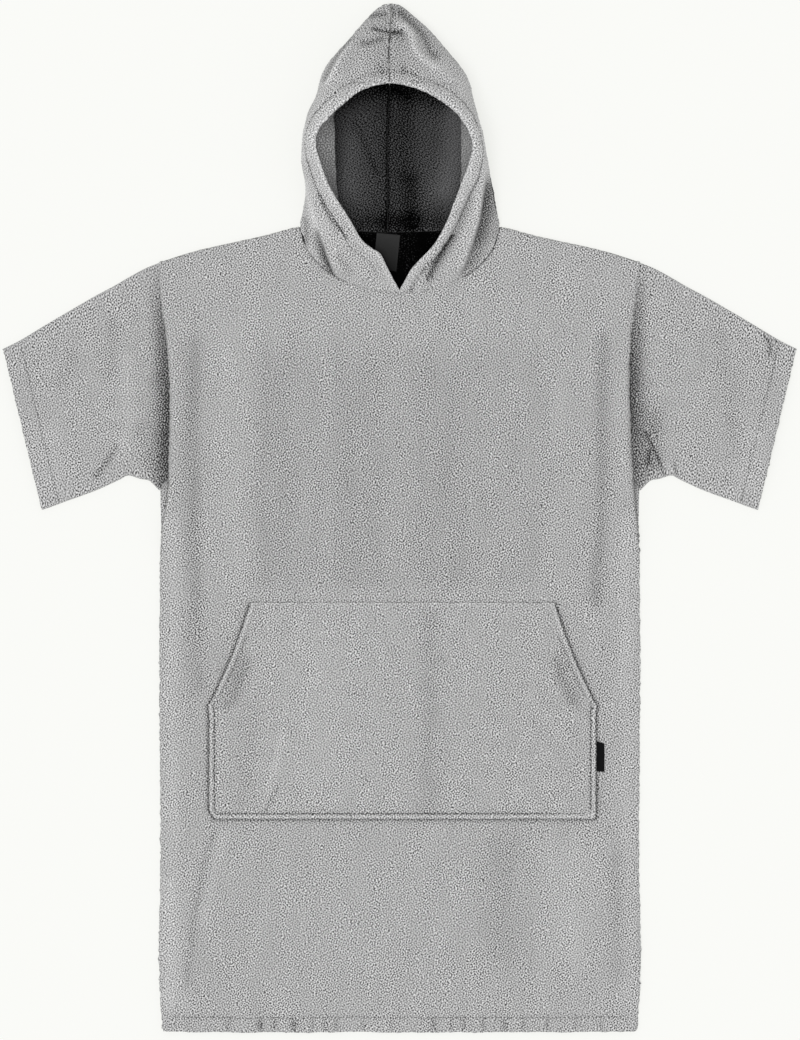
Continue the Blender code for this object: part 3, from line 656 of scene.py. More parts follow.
def makeFront():
    # The front of the body. Rows run straight across up to straightY and follow the shoulders and the
    # neck above it. The columns past the flat part turn down round the side in half an ellipse. The
    # height is a flat level plus the roll along the armhole, the folds and a soft swell; the outer face
    # lies half a cloth above it, with the hem's step and stitches.
    radius, share = body["sideRadius"], cloth["insideShare"]
    hemY, neckHalf, straightY = body["hemY"], body["neckHalf"], body["straightY"]
    flatHalf = body["half"] - radius
    turn = np.radians(body["sideTurn"])
    plain = spaced(-flatHalf, flatHalf, cloth["mesh"], share, 2 * len(turn))
    columnX = np.concatenate([0 * turn - flatHalf, plain, 0 * turn + flatHalf])
    angle = np.concatenate([turn[::-1], 0 * plain + pi / 2, turn])
    *close, firstEven = body["hemRows"]
    low = np.concatenate([close, spaced(firstEven, straightY - hemY, cloth["mesh"])])
    high = spaced(0, 1, 1 / body["highRows"], share, len(low) - 1)[1:]
    high = 1 - (1 - high) ** 1.15

    x0 = columnX[None, :]
    top = np.where(np.abs(x0) < neckHalf, frontNeckY(x0) + 0.0010, shoulderY(x0 * body["half"] / flatHalf))
    y = np.concatenate([hemY + low[:, None] + 0 * x0, straightY + (top - straightY) * high[:, None]])
    x0 = x0 + 0 * y
    # the hem's line: its corners lie higher, and it wanders a little
    lift, start, width = body["hemLift"]
    height, length = body["hemWander"]
    lift = lift * ease((np.abs(x0) - start) / width) + height * waves(x0, 0 * x0, length, 22) - 0.0006
    y = y + lift * (1 - ease((y - hemY) / 0.05))
    half = edgeOf("half", x0, y)
    x = x0 + np.sign(x0) * (half - body["half"]) * ease((np.abs(x0) / flatHalf - 0.6) / 0.4)
    x = x + np.sign(x0) * radius * np.cos(angle)
    inside = half - np.abs(x)
    belowTop = top - y
    pocketLow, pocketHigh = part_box("pocket")
    past = np.hypot(
        np.maximum(np.maximum(pocketLow.x - x, x - pocketHigh.x), 0),
        np.maximum(np.maximum(pocketLow.y - y, y - pocketHigh.y), 0),
    )

    # heights of the middle of the cloth
    away = np.maximum(inside - radius, 0)
    mid = body["frontMid"] + edgeOf("roll", x0, y) * np.exp(-((away / body["rollReach"]) ** 1.4))
    sewn = ease((y - hemY - body["hemDepth"]) / 0.03)
    clear = ease(past / body["foldsClear"] - 0.2)
    mid += clear * sewn * creases(frontFolds, x, y)
    mid += (0.3 + 0.7 * clear) * cloth["swell"] * waves(x, y, cloth["swellLength"], 11)
    neckMid = np.interp(np.abs(x), (0, neckHalf), body["neckMid"])
    toNeck = belowTop + np.maximum(np.abs(x) - neckHalf, 0)
    mid += (neckMid - mid) * groove(toNeck, body["neckReach"]) * (np.abs(x) < neckHalf + 0.05)
    # the side turns under in half an ellipse
    tuck = edgeOf("tuck", x0, y)
    turned = (mid + tuck) / 2 + (mid - tuck) / 2 * np.sin(angle)
    z = np.where(np.abs(x0) < flatHalf - 1e-9, mid, turned)
    z = z - np.where(np.abs(x) > neckHalf, roundOver(belowTop, 0.006, z - 0.0030), 0)
    middle = np.stack([x, y, z], -1)
    outward = normalsOf(middle)

    fromHem = np.maximum(y - y[:1], 0)
    atStitches = fromHem - body["hemDepth"] + 0.001
    dents = sum(depth * groove(x - at / 1000, width / 1000) for at, width, depth in hemDents)
    dentsY, dentsLong = body["dentsAt"]
    puckersY, puckersLong = body["puckersAt"]
    dents = dents * groove(fromHem - dentsY, dentsLong)
    puckers = 0.3 * hemPuckers(x, 21) * groove(fromHem - puckersY, puckersLong)
    neckSeam = np.where(np.abs(x) < neckHalf, belowTop, 1.0)
    # height of the outer face over the plain cloth
    rise = hemStep(atStitches, *body["hemRise"])
    rise -= softLine(atStitches, *body["hemDip"])
    rise -= body["puckerRise"] * (dents + puckers)
    rise -= roundOver(fromHem, *body["hemRound"]) + softLine(neckSeam, *body["neckDip"])
    outer = middle + outward * (halfCloth + rise)[..., None]
    outer = pile(outer, outward, 31, 0.15 + 0.85 * ease(past / 0.004))
    outer = ragged(outer, fromHem, (0, 1, 0), 33)
    outer = ragged(outer, np.maximum(inside, 0), np.sign(x0)[..., None] * (1, 0, 0), 34, 0.0030)
    inner = middle - outward * halfCloth

    hemLine = seamLine(outer[:, 12:-12].transpose(1, 0, 2), fromHem[:, 12:-12].T, body["hemDepth"] - 0.001)
    stitches("hem_stitches", [hemLine], lightThread)
    # painted shade along the neck seam, the hem's stitches and dents, and beside the pocket, with the folds'
    # painted shade and highlights
    wide, crisp = (softLine(neckSeam, *line) for line in body["neckShades"])
    tone = frontToneAndShading(outer[..., 0], outer[..., 1]) - besidePocket(x, y) - body["puckerShade"] * dents
    tone -= softLine(atStitches, *body["hemShade"]) + wide + crisp * neckSides(x)
    # painted shade on the edge of the front below the underarm, before the strip of the back that shows
    # beside it
    lowest, highest = body["underarm"]
    onTurn = ease((np.radians(44) - angle) / 0.5)
    underarm = onTurn * ease((y - lowest) / 0.03) * ease((highest - y) / 0.03)
    tone -= body["underarmShade"] * underarm
    places = acrossCloth(outer)
    return clothPiece(
        "front_panel", "body_front", outer, inner[::share, ::share], bothFaces, tone=tone, places=places
    )


# how much lighter a patch is, its left, right, lower and upper edge, softness
tonePatches = inMetres([
    (-0.05, -96, -20, -110, 235, 10),
    (-0.05, 20, 97, -110, 235, 10),
    (-0.06, -215, 215, -112, 260, 30),
], kept=1)
# painted shade beside the folds and painted highlights on their ridges and on the edges: how much lighter,
# half widths on the left and the right of the line, its points
frontShades = inMetres([
    (0.03, 10, 10, (-303, 270), (-303, 50)),
    (-0.17, 10, 14, (-281, 235), (-281, 40), (-275, -230)),
    (-0.2, 12, 10, (276, 243), (275, 50), (268, -113)),
    (0.03, 8, 12, (300, 243), (305, -250)),
    (0.12, 10, 10, (-316.5, -500), (-316.5, -670)),
    (0.13, 12, 14, (-311.5, -5), (-311.5, -304), (-309, -660)),
    (0.09, 12, 10, (311.5, -5), (311.5, -660)),
    (-0.15, 4, 6, (-254, -430), (-266, -475), (-279, -537), (-287, -605), (-291, -639)),
    (0.12, 8, 9, (-240, -434), (-254, -482), (-266, -550)),
    (-0.11, 30, 28, (137, -455), (141, -523), (144, -592)),
    (0.09, 34, 32, (233, -468), (236, -592)),
    (-0.09, 16, 16, (295, -468), (299, -619)),
    (-0.06, 30, 30, (-170, 190), (-175, -60)),
    (0.05, 26, 26, (-225, 250), (-228, -90)),
], kept=1)


def besidePocket(x, y):
    # how dark the painted shade close outside the pocket's sides and lower edge is
    side, bottom = np.abs(x - pocket["x"]), pocket["bottomY"]
    sideShading, lowShade, width = pocket["outerShade"]
    aside = groove(np.maximum(side - pocketHalf(y, x < 0), 0), width) * ease((y - bottom + 0.004) / 0.004)
    below = groove(bottom - y, width) * ease((pocket["half"] + 0.002 - side) / 0.004)
    return np.where(y < bottom, lowShade * below, sideShading * aside * (y < pocket["topY"]))


def frontToneAndShading(x, y):
    # slow changes of tone, plus the patches, and the painted shade and highlights along folds and edges
    height, length = body["napRise"]
    tone = height * waves(x, 0.25 * y, length, 41)
    for amount, left, right, low, high, soft in tonePatches:
        across = ease((x - left) / soft) * ease((right - x) / soft)
        along = ease((y - low) / 0.03) * ease((high - y) / 0.05)
        tone += amount * across * along
    return tone + creases(frontShades, x, y)


def makeBack():
    # flat on the floor; its upper face is the dark inside, but for the light edges that turn up beside
    # the front
    share = cloth["insideShare"]
    lowRows, highRows = body["backRows"]
    rows = spaced(0, 1, 1 / lowRows, share, highRows)
    high = np.linspace(0, 1, highRows + 1)[1:]
    x0 = spaced(-body["half"], body["half"], body["backMesh"], share)[None, :]
    top = np.where(np.abs(x0) < body["neckHalf"], np.interp(x0, *backNeckLine()), shoulderY(x0))
    start, straight = body["hemY"] + 0 * x0, body["straightY"]
    y = np.concatenate(
        [start + (straight - start) * rows[:, None], straight + (top - straight) * high[:, None]]
    )
    half = curveThrough(backEdge["y"], backEdge["half"], y)
    x = x0 * half / body["half"]
    fromSide = half - np.abs(x)
    inside = np.minimum(np.minimum(fromSide, y - body["hemY"]), top - y + 0.002)
    drop = roundOver(inside, *body["backRound"])
    down = np.stack([x, y, drop], -1)
    up = np.stack([x, y, cloth["thick"] - drop + 0.0001 * waves(x, y, 0.02, 61)], -1)
    hidden = (fromSide[:-1, :-1] > body["darkFrom"])[:, ::-1].ravel().astype(int)
    # painted shade: the back's inside turns near black where it shows through the neck
    paintedShade = np.where(y[:, ::-1] > 0.2, -0.97, 0)
    return clothPiece(
        "back_panel", "body_back", down[:, ::-1], up[:, ::-1], bothFaces, innerTone=paintedShade, innerFinish=hidden
    )


hood = {
    "turn": 0.028,  # how far inside its outline the hood leaves the floor
    "columns": (37, 18, 47),  # over the floor, round the side and in to the rim
    "crownEnd": 9,  # the row where the crown seam ends and the rim starts
    "mesh": 0.0025,
    "floorGap": 0.0034,  # the least space under the cloth that climbs to the rim
    # the hem's step, then soft lines along stitches and seams: depth, or how dark the painted shade in them
    # is, and half width
    "hemRise": (0.0011, -0.001, 0.004),
    "hemDip": (0.0018, 0.0022),
    "hemPuckers": (0.0009, 0.007),
    # painted shade along the rim's stitches
    "hemShade": ((0.550, 0.600), (0.50, 0.18)),  # by height on the cheek: how dark along the stitches
    "seamInset": 0.0009,  # of each panel along the crown seam
    "seamDip": (0.0008, 0.0030),
    # and by height along the crown seam: how dark the painted shade in it is
    "seamShade": ((0.600, 0.622, 0.665, 0.680), (0.10, 0.30, 0.32, 0.08)),
    "backDip": (0.0008, 0.003),
    "neckDip": 0.0012,  # how much flatter the cloth is at the neck seam
    "lip": (0.0006, 0.0019),  # how far the edge reaches past the crown seam and past the rim
    # painted highlight along the rim: how much lighter, and half width
    "rimHighlight": (0.22, 0.0055),
    # painted light on the lower part of the hood, lighter than its top
    "cheekHighlight": (0.07, 0.62),  # how much lighter it is below that height
    # painted light on the outer sides of the hood
    "sideShading": {-1: 0.13, 1: 0.08},  # how much lighter the sides are, as a share
    "leftHemY": 0.372,  # the left hem's stitches fade out here
    "stitched": (11.5, 23.8),  # rows between which the rim's stitches run
    "facingWidth": 0.0295,
    "facingDrop": 0.0045,
    # first and last row of the facing, and where its free edge is in them
    "facing": {-1: (12, 19, -0.0915, -0.0865), 1: (12, 18, 0.0852, 0.0852)},
    # painted shade on the facing, from under the rim to its free edge, as a share
    "facingShade": (-0.60, -0.52, -0.42, -0.32),
}
# A row for each section from the tip to the neck seam. backY: on the seam down the back of the head.
# seamX: that seam. lean and half: middle and half width of the outline. The cloth climbs from the side
# to the rim, or in the first rows closes over the crown.
hoodRows = tableOf(
    "backY sideY seamX lean half sideZ rimY rimLeft rimRight rimZ",
    (695.5, 701.2, -12, -12, 0, 7, 701.5, -12, -12, 12),
    (694, 699, -12, -12, 11, 7.5, 700.8, -12, -12, 14),
    (692.5, 693.5, -12, -12, 20, 9, 696.5, -12, -12, 19),
    (683, 683.5, -12, -11.3, 31, 11, 687, -12, -12, 28),
    (667, 667, -12.5, -9.2, 48, 15, 671, -12.5, -12.5, 44),
    (650.5, 650.5, -13.3, -8.6, 62, 19, 654.5, -13.3, -13.3, 57),
    (634, 634, -14.7, -9.2, 76.5, 23, 639.5, -14.7, -14.7, 68),
    (618, 618, -15.2, -9.2, 89.5, 27, 624.5, -15.2, -15.2, 77),
    (601, 602.5, -14.7, -8, 99, 30, 609.5, -14.7, -14.7, 84),
    (585, 587.5, -13.3, -7, 104, 33, 590, -13.3, -13.3, 90),
    (574, 577, -14.7, -7.2, 106, 34, 587, -34.5, 8.5, 90),
    (563, 566, -15.5, -8, 109.5, 36, 578.5, -57.5, 35, 89),
    (549.5, 552, -16, -9.8, 115, 38, 562.5, -77.5, 63.5, 87),
    (536, 537, -16.5, -9.8, 119, 39, 545.5, -96.5, 82, 84),
    (521, 522, -16.8, -9.2, 123, 39, 528, -111.8, 94, 80),
    (503, 504, -16.8, -8.5, 125.2, 38, 507, -115.7, 100.5, 76),
    (481, 482.5, -16.8, -6.5, 127.2, 35, 482.5, -109.2, 96, 70),
    (459, 460.5, -16.8, -2.5, 127.2, 30, 456.5, -99.8, 86.2, 62),
    (440, 441.5, -16.8, 0, 128.6, 24, 430.5, -85.4, 76.2, 52),
    (423.5, 425, -16.8, 0, 131.3, 19, 406, -69.4, 66.8, 42),
    (410, 411.5, -16.8, 0, 134, 14, 380.5, -54.5, 53.5, 32),
    (404.5, 407.5, -16.8, 0, 135.2, 12, 368, -40, 44, 27),
    (400.5, 404, -16.8, 0, 135.6, 10, 360.5, -28.5, 37, 24),
    (396.5, 401, -16.8, 0, 135.8, 8.5, 341.5, -18.5, 18.8, 17),
    (393.5, 398.8, -16.8, 0, 135.8, 7.5, 323.5, -9, 8.2, 12),
    (390.5, 397.5, -16.8, 0, 135.8, 7, 307.8, -0.2, 0.2, 8),
)
# from the rim to its stitches, by height, in mm
hoodHem = {
    -1: tableOf("y away", (330, 16.5), (460, 16.5), (500, 17.5)),
    1: tableOf("y away", (330, 12.5), (400, 13.5), (460, 17), (500, 17.5)),
}
# Folded edges on the cheeks: rise, sink, widths on the left and the right of the line, width of the
# drop, points of the line. The outward side is on its right.
hoodEdges = inMetres({
    -1: [
        (6, 7.5, 20, 10, 3.5, (-119, 415), (-110.6, 395.5), (-106, 385), (-99.6, 368.2), (-96.2, 357.6),
         (-90.6, 343), (-85.6, 330.2), (-79, 320), (-69, 315)),
    ],
    1: [
        (7.5, 9, 18, 19, 3.5, (70, 318), (78, 330), (85.8, 346), (98.1, 380), (105.7, 407), (109.8, 434.5),
         (114, 460), (116.5, 480)),
    ],
})
# painted shade in the recess beside each of them: how dark from low to high, heights in mm, shares
recessShade = {
    -1: ((320, 332, 350, 368, 386, 402), (0.40, 0.80, 0.92, 0.86, 0.55, 0.15)),
    1: ((330, 346, 380, 407, 435, 451, 470), (0.34, 0.52, 0.80, 0.93, 0.92, 0.85, 0.50)),
}
hoodFolds = inMetres({
    -1: [
        (-3, 5, 5, (-129, 412), (-128.9, 395), (-128.5, 380)),
        (2.5, 12, 12, (-88, 400), (-66, 360), (-42, 330)),
        (-2.5, 10, 10, (-108, 420), (-90, 380), (-64, 340)),
    ],
    1: [
        (-6, 8, 5, (96, 440), (82, 405), (69, 380), (56, 358), (42, 335)),
        (2.5, 8, 8, (91, 400), (77, 365), (63, 340)),
    ],
})
crownFolds = inMetres([
    (6, 10, 5.5, (-1, 671.1), (7.2, 668.4), (14, 660), (16, 652), (20.5, 635.6), (34, 621), (53, 607),
     (70, 594)),
    (4, 5, 8, (-64, 647.9), (-79.5, 627.4), (-89.9, 606), (-100.9, 590.4)),
    (-3.4, 5, 5, (-42.1, 680), (-31.1, 683.5), (-20.2, 684.8)),
    (-4.4, 4.5, 4.5, (-38, 665.7), (-25.7, 661.6), (-13.3, 658.8), (4.4, 658.8)),
    (-3.4, 6, 6, (-53, 645), (-44.8, 644.5), (-33.9, 648), (-24.3, 651)),
    (-4, 6, 10, (12, 676), (27.7, 662.9), (33, 647.9), (40, 634.2), (50, 623)),
])
# painted shade in the folds and seams of the hood and painted highlights on its ridges: how much lighter,
# half widths on the left and the right of the line
crownShades = inMetres([
    (-0.13, 36, 36, (-14.7, 672), (-14.7, 623.3)),
    (-0.66, 3, 3, (-36, 665.7), (-25.7, 663), (-13.3, 660.8), (2, 660)),
    (-0.45, 3.4, 3.4, (-38, 683.5), (-31.1, 685), (-20.2, 686)),
    (-0.42, 3, 3, (-10, 696), (-9, 684)),
    (-0.4, 4.5, 4.5, (-50, 645), (-44.8, 644.5), (-33.9, 648), (-24.3, 651)),
    (-0.22, 6, 6, (-6, 658), (1, 653)),
    (0.44, 4, 2.8, (-1, 671.1), (7.2, 668.4), (14, 660), (16, 652), (20.5, 635.6), (34, 621), (48, 611)),
    (-0.5, 7, 5, (0, 689), (11, 677), (21.5, 667), (30, 657), (36, 645), (41, 633), (48, 627)),
    (0.46, 2.2, 2, (-64, 647.9), (-79.5, 627.4), (-89, 608), (-99.5, 590.4)),
    (-0.46, 3.6, 3.6, (-66.5, 650), (-80, 633.5), (-92, 615), (-101.5, 595)),
    (-0.3, 2.2, 2.2, (4.2, 610), (21.7, 599), (30.4, 592)),
    (-0.26, 5, 5, (-27, 611), (-22.5, 603)),
    (-0.24, 3, 3, (5, 613), (4, 603)),
    (0.14, 9, 8, (56, 611), (72, 595), (83, 579)),
], kept=1)
cheekShades = inMetres({
    -1: [
        (-0.45, 3.6, 3.6, (-128, 408), (-126.9, 394.5), (-126.9, 374)),
        (0.34, 3.2, 3.2, (-127.5, 460.5), (-124.1, 440), (-120, 420.8), (-114, 397)),
        (-0.52, 2, 2, (-111, 440), (-102, 423), (-94.3, 409), (-81.7, 394), (-73.5, 382.9)),
        (-0.18, 5, 5, (-83.8, 357.9), (-71.2, 338.7)),
        (-0.12, 3, 3.3, (-118.7, 352.4), (-107.7, 337.3), (-87.2, 320.9), (-73.5, 312.7)),
        (-0.2, 3.5, 3.5, (-105.5, 430), (-96, 408), (-86, 390)),
        (0.26, 6, 6, (-129.6, 530), (-130, 490)),
    ],
    1: [
        (-0.3, 6, 4.5, (96, 434.5), (88, 413), (80, 395)),
        (-0.86, 8.4, 1.8, (70, 384), (66.7, 380), (59.2, 369.2), (53, 357.9), (47.7, 349.2), (42.5, 340.8),
         (37.3, 330.2)),
        (0.12, 9.6, 4.1, (111, 453.6), (108, 434.5), (104, 407.1), (96, 379.7), (84, 345.6)),
        (-0.1, 3.4, 4.1, (120.7, 357.9), (107, 338.7), (85.2, 323.7), (63.3, 315.5)),
        (0.2, 10, 8, (109.8, 543.9), (114, 502.9), (116, 467.3)),
    ],
}, kept=1)


# painted shade and painted light inside the hollow of the hood
insideShades = inMetres([
    (-0.62, 18, 18, (-80, 575), (-15, 592), (60, 570)),
    (-0.36, 28, 28, (-12, 590), (-12, 400)),
    (1.1, 19, 18, (76, 550), (77, 520), (74, 490), (64, 450)),
    (-0.24, 12, 14, (11.5, 580), (11, 530), (11.5, 470)),
    (-0.46, 13, 14, (16.5, 460), (18, 400)),
    (0.42, 18, 20, (-72, 510), (-70, 450)),
    (-0.26, 5, 5, (-60, 540), (-46, 505), (-32, 470)),
    (-0.45, 16, 16, (-50, 404), (50, 404)),
], kept=1)


def hoodPlaces():
    # Places along the rows, evenly spaced on the cloth: a step is as long as the larger of its lengths
    # along the back seam and along the rim.
    rimStep = np.hypot(np.diff(hoodRows["rimY"]), np.diff(hoodRows["rimRight"]))
    length = np.concatenate([[0], np.cumsum(np.maximum(rimStep, -np.diff(hoodRows["backY"])))])
    rows = np.arange(len(length), dtype=float)
    even = spaced(0, length[-1], hood["mesh"])
    return np.interp(even, length, rows)


def hoodRow(place, name):
    # a curve through one column of hoodRows, read at places between the rows
    rows = np.arange(len(hoodRows[name]), dtype=float)
    end = hood["crownEnd"]
    if not name.startswith("rim"):
        return curveThrough(rows, hoodRows[name], place)
    # the rim leaves the crown seam sharply, so the curve is read on each side of that row
    crown = curveThrough(rows[: end + 1], hoodRows[name][: end + 1], place)
    return np.where(place < end, crown, curveThrough(rows[end:], hoodRows[name][end:], place))


def hoodMiddle(side):
    # Middle of one hood panel. Its columns run from the back seam out over the floor, round a quarter
    # of an ellipse up to the side, and round another in to the rim.
    place = hoodPlaces()
    row = {name: hoodRow(place, name)[:, None] for name in hoodRows}
    columns = hood["columns"]
    floor = np.linspace(0, 1, columns[0])[None, :]
    turn, climb = (np.radians(np.linspace(0, 90, count)[1:])[None, :] for count in columns[1:])
    seamInset = side * hood["seamInset"] * (place < hood["crownEnd"])[:, None]
    rimX = row["rimLeft" if side < 0 else "rimRight"] + seamInset
    sideX = row["lean"] + side * np.maximum(row["half"] - halfCloth, cloth["gap"] / 2)
    width = np.minimum(hood["turn"], 0.45 * row["half"])
    seamX = row["seamX"] + side * cloth["gap"] / 2
    floorX = sideX - side * width

    xFloor = seamX + (floorX - seamX) * floor
    xTurn = floorX + side * width * np.sin(turn)
    out = np.concatenate([0.7 * floor, 0.7 + 0.3 * turn / turn.max()], axis=1) ** 1.5
    yOut = row["backY"] + (row["sideY"] - row["backY"]) * out
    zFloor = halfCloth + 0 * xFloor
    zTurn = halfCloth + (row["sideZ"] - halfCloth) * (1 - np.cos(turn))

    neckInset = np.zeros_like(sideX)
    neckInset[-1] = cloth["gap"] + halfCloth
    xClimb = rimX + (sideX - rimX) * np.cos(climb)
    xClimb = xClimb - side * neckInset * np.cos(climb) ** 8
    yClimb = row["sideY"] + (row["rimY"] - row["sideY"]) * np.sin(climb)
    zClimb = row["sideZ"] + (row["rimZ"] - row["sideZ"]) * np.sin(climb)
    fade = ease((place.max() - place) / 1.5)[:, None]
    folded, recess = cliffs(hoodEdges[side], xClimb, yClimb)
    zClimb = zClimb + fade * (folded + creases(hoodFolds[side] + crownFolds, xClimb, yClimb))
    zClimb = np.maximum(zClimb, halfCloth + hood["floorGap"])

    x = np.concatenate([xFloor, xTurn, xClimb], axis=1)
    y = np.concatenate([yOut, yClimb], axis=1)
    z = np.concatenate([zFloor, zTurn, zClimb], axis=1)
    recess = np.concatenate([0 * yOut, recess], axis=1)
    steps = np.hypot(np.diff(xClimb, axis=1), np.diff(zClimb, axis=1))
    climbed = row["sideZ"] + np.pad(np.cumsum(steps, axis=1), ((0, 0), (1, 0)))
    # places on the cloth, unrolled from the side both ways
    unrolled = [2 * sideX - xFloor, 2 * sideX - xTurn - side * zTurn, sideX - side * climbed]
    spread = np.stack([np.concatenate(unrolled, axis=1), y], -1)
    return np.stack([x, y, z], -1), floor.size + turn.size, place, recess, spread


def rolledLip(outer, inner, radius):
    # half an ellipse that reaches the given radius past the last column, between the two faces
    middle, across = (outer[:, -1] + inner[:, -1]) / 2, (outer[:, -1] - inner[:, -1]) / 2
    before = (outer[:, -3] + inner[:, -3]) / 2
    past = unit(middle - before) * (radius + 0 * middle[:, 0])[:, None]
    angles = np.radians([25, 50, 75])[None, :, None]
    lip = middle[:, None] + past[:, None] * np.sin(angles)
    drop = across[:, None] * np.cos(angles)
    return np.concatenate([outer, lip + drop], axis=1), np.concatenate([inner, lip - drop], axis=1)


def onLip(values):
    # the values of the last column carried on over the three columns of a rolled lip
    return np.concatenate([values, np.repeat(values[:, -1:], 3, axis=1)], axis=1)


def makeHood(side):
    # One hood panel: the cloth of hoodMiddle with a face half a cloth to either side, the hem's step and
    # stitches by the distance from the rim, the seams, and a rolled lip along the rim.
    middle, backColumns, place, recess, spread = hoodMiddle(side)
    x, y = middle[..., 0], middle[..., 1]
    climbing = np.arange(middle.shape[1]) >= backColumns
    onCrown = place < hood["crownEnd"]
    # the first row is the seam round the tip, where the cloth turns from facing down to facing up
    roundTip = np.radians(np.linspace(-85, 65, middle.shape[1]))
    flat = side * normalsOf(middle)
    flat[0] = np.stack([0 * roundTip, np.cos(roundTip), np.sin(roundTip)], -1)
    flat[:, 0, 0] = 0
    flat[onCrown, -1, 0] = 0
    flat[-1, climbing, :2] *= np.linspace(0.8, 0, climbing.sum())[:, None]
    flat[-1, ~climbing, 1] = 0
    outward = unit(flat)

    # distances from the rim, its stitches and the seams
    rim = middle[~onCrown, -1]
    reach = np.linalg.norm(middle[:, :, None] - rim, axis=-1)
    rimLength = np.pad(np.cumsum(np.linalg.norm(np.diff(rim, axis=0), axis=-1)), (1, 0))
    fromRim, alongRim = reach.min(axis=-1), rimLength[reach.argmin(axis=-1)]
    pastHem = fromRim - np.interp(y, hoodHem[side]["y"], hoodHem[side]["away"])
    hemFades = ease((y - hood["leftHemY"]) / 0.02) if side < 0 else 1
    fromCrown, fromBack = x - x[:, -1:], np.abs(x - x[:, :1])
    onSeam = onCrown[:, None] * climbing

    # height of the outer face over the plain cloth
    rise = hemStep(pastHem, *hood["hemRise"])
    rise -= softLine(pastHem, *hood["hemDip"]) * hemFades
    rise -= softLine(pastHem + 0.005, *hood["hemPuckers"]) * hemPuckers(alongRim, 23 + side)
    rise -= softLine(fromCrown, *hood["seamDip"]) * onSeam * hemPuckers(y, 27)
    fromNeck = ease((place.max() - place) / 0.8)[:, None]
    rise = rise * fromNeck * climbing - hood["neckDip"] * (1 - fromNeck)
    inner = middle - outward * (halfCloth - softLine(fromBack, *hood["backDip"]))[..., None]
    outer = middle + outward * (halfCloth + rise)[..., None]
    outer, inner = rolledLip(outer, inner, np.where(onCrown, *hood["lip"]))
    lipNormals = onLip(outward)
    sewn = np.ones(outer.shape[:2])  # no pile where it is sewn in
    sewn[:, 0] = sewn[-1] = 0

    # lightness of both faces: uneven tone, with painted shade in the seams, stitches and recesses and painted
    # highlights on the rim, ridges and sides
    tone = unevenTone(x, y, 73)
    tone -= groove(pastHem, 0.0018) * np.interp(y, *hood["hemShade"]) * climbing * hemFades
    tone += creases(crownShades + cheekShades[side], x, y) * climbing
    tone -= recess * np.interp(1000 * y, *recessShade[side])
    tone -= groove(fromCrown, 0.0016) * onSeam * np.interp(y, *hood["seamShade"]) * hemPuckers(y, 29)
    lighter, below = hood["cheekHighlight"]
    tone += (softLine(fromRim, *hood["rimHighlight"]) + lighter * ease((below - y) / 0.06)) * climbing
    tone += hood["sideShading"][side] * ease((np.abs(x) - 0.07) / 0.03) * climbing
    # painted shade: near black in the neck seam and in the crown seam
    tone[-1, ~climbing] = -0.9
    tone = onLip(tone)
    tone[onCrown, -2:] = -0.6
    tone[-1, :-3] -= 0.5 * neckSides(x[-1]) * climbing
    # inside: painted shade and light in the hollow, darker along the back seam and the crown seam
    innerTone = np.zeros(tone.shape)
    innerTone[:, :-3] = creases(insideShades, x, y) - 0.5 * groove(fromBack, 0.0022)
    innerTone[onCrown, -4:] = -0.9
    tone, innerTone = np.maximum(tone, -0.95), np.maximum(innerTone, -0.9)
    inner = pile(inner, -lipNormals, 75 + side, sewn, 1.0)
    outer = pile(outer, lipNormals, 71 + side, sewn * (lipNormals[..., 2] > -0.5), 1.0)
    lip = np.minimum(np.arange(outer.shape[1])[::-1] - 3, 9)[None, :] * 0.0006 + 0 * sewn
    outer = ragged(outer, np.where(onCrown[:, None], 1, np.maximum(lip, 0)), (side * 0.7, 0.7, 0), 77 + side)
    outer[..., 2] = np.maximum(outer[..., 2], 0)
    spread = np.concatenate([spread, spread[:, -1:] - side * 0.0008 * np.arange(1, 4)[None, :, None]], axis=1)

    word = sideWord[side]
    rows = (place > hood["stitched"][0]) & (place < hood["stitched"][1])
    pastHem, facing = pastHem[rows, ::-1], outward[rows, ::-1]
    rimLine = seamLine(outer[rows, middle.shape[1] - 1 :: -1], pastHem, 0)
    stitches(f"hood_{word}_stitches", [rimLine], lightThread, [seamLine(facing, pastHem, 0)])
    grids = outer, inner, tone, innerTone, spread
    outer, inner, tone, innerTone, spread = (grid[:, :: side] for grid in grids)
    tones = {"tone": tone, "innerTone": innerTone}
    made = clothPiece(
        f"hood_{word}_panel", f"hood_{word}", outer, inner, bothFaces, places=spread, **tones
    )
    return made, middle, place


def backNeckLine():
    # x and y along the lower edge of the hood's back, less the gap
    left, right = (middle[-1, :count] for middle, count, *_ in map(hoodMiddle, (-1, 1)))
    line = np.concatenate([left[::-1], right])
    return line[:, 0], line[:, 1] - cloth["gap"]


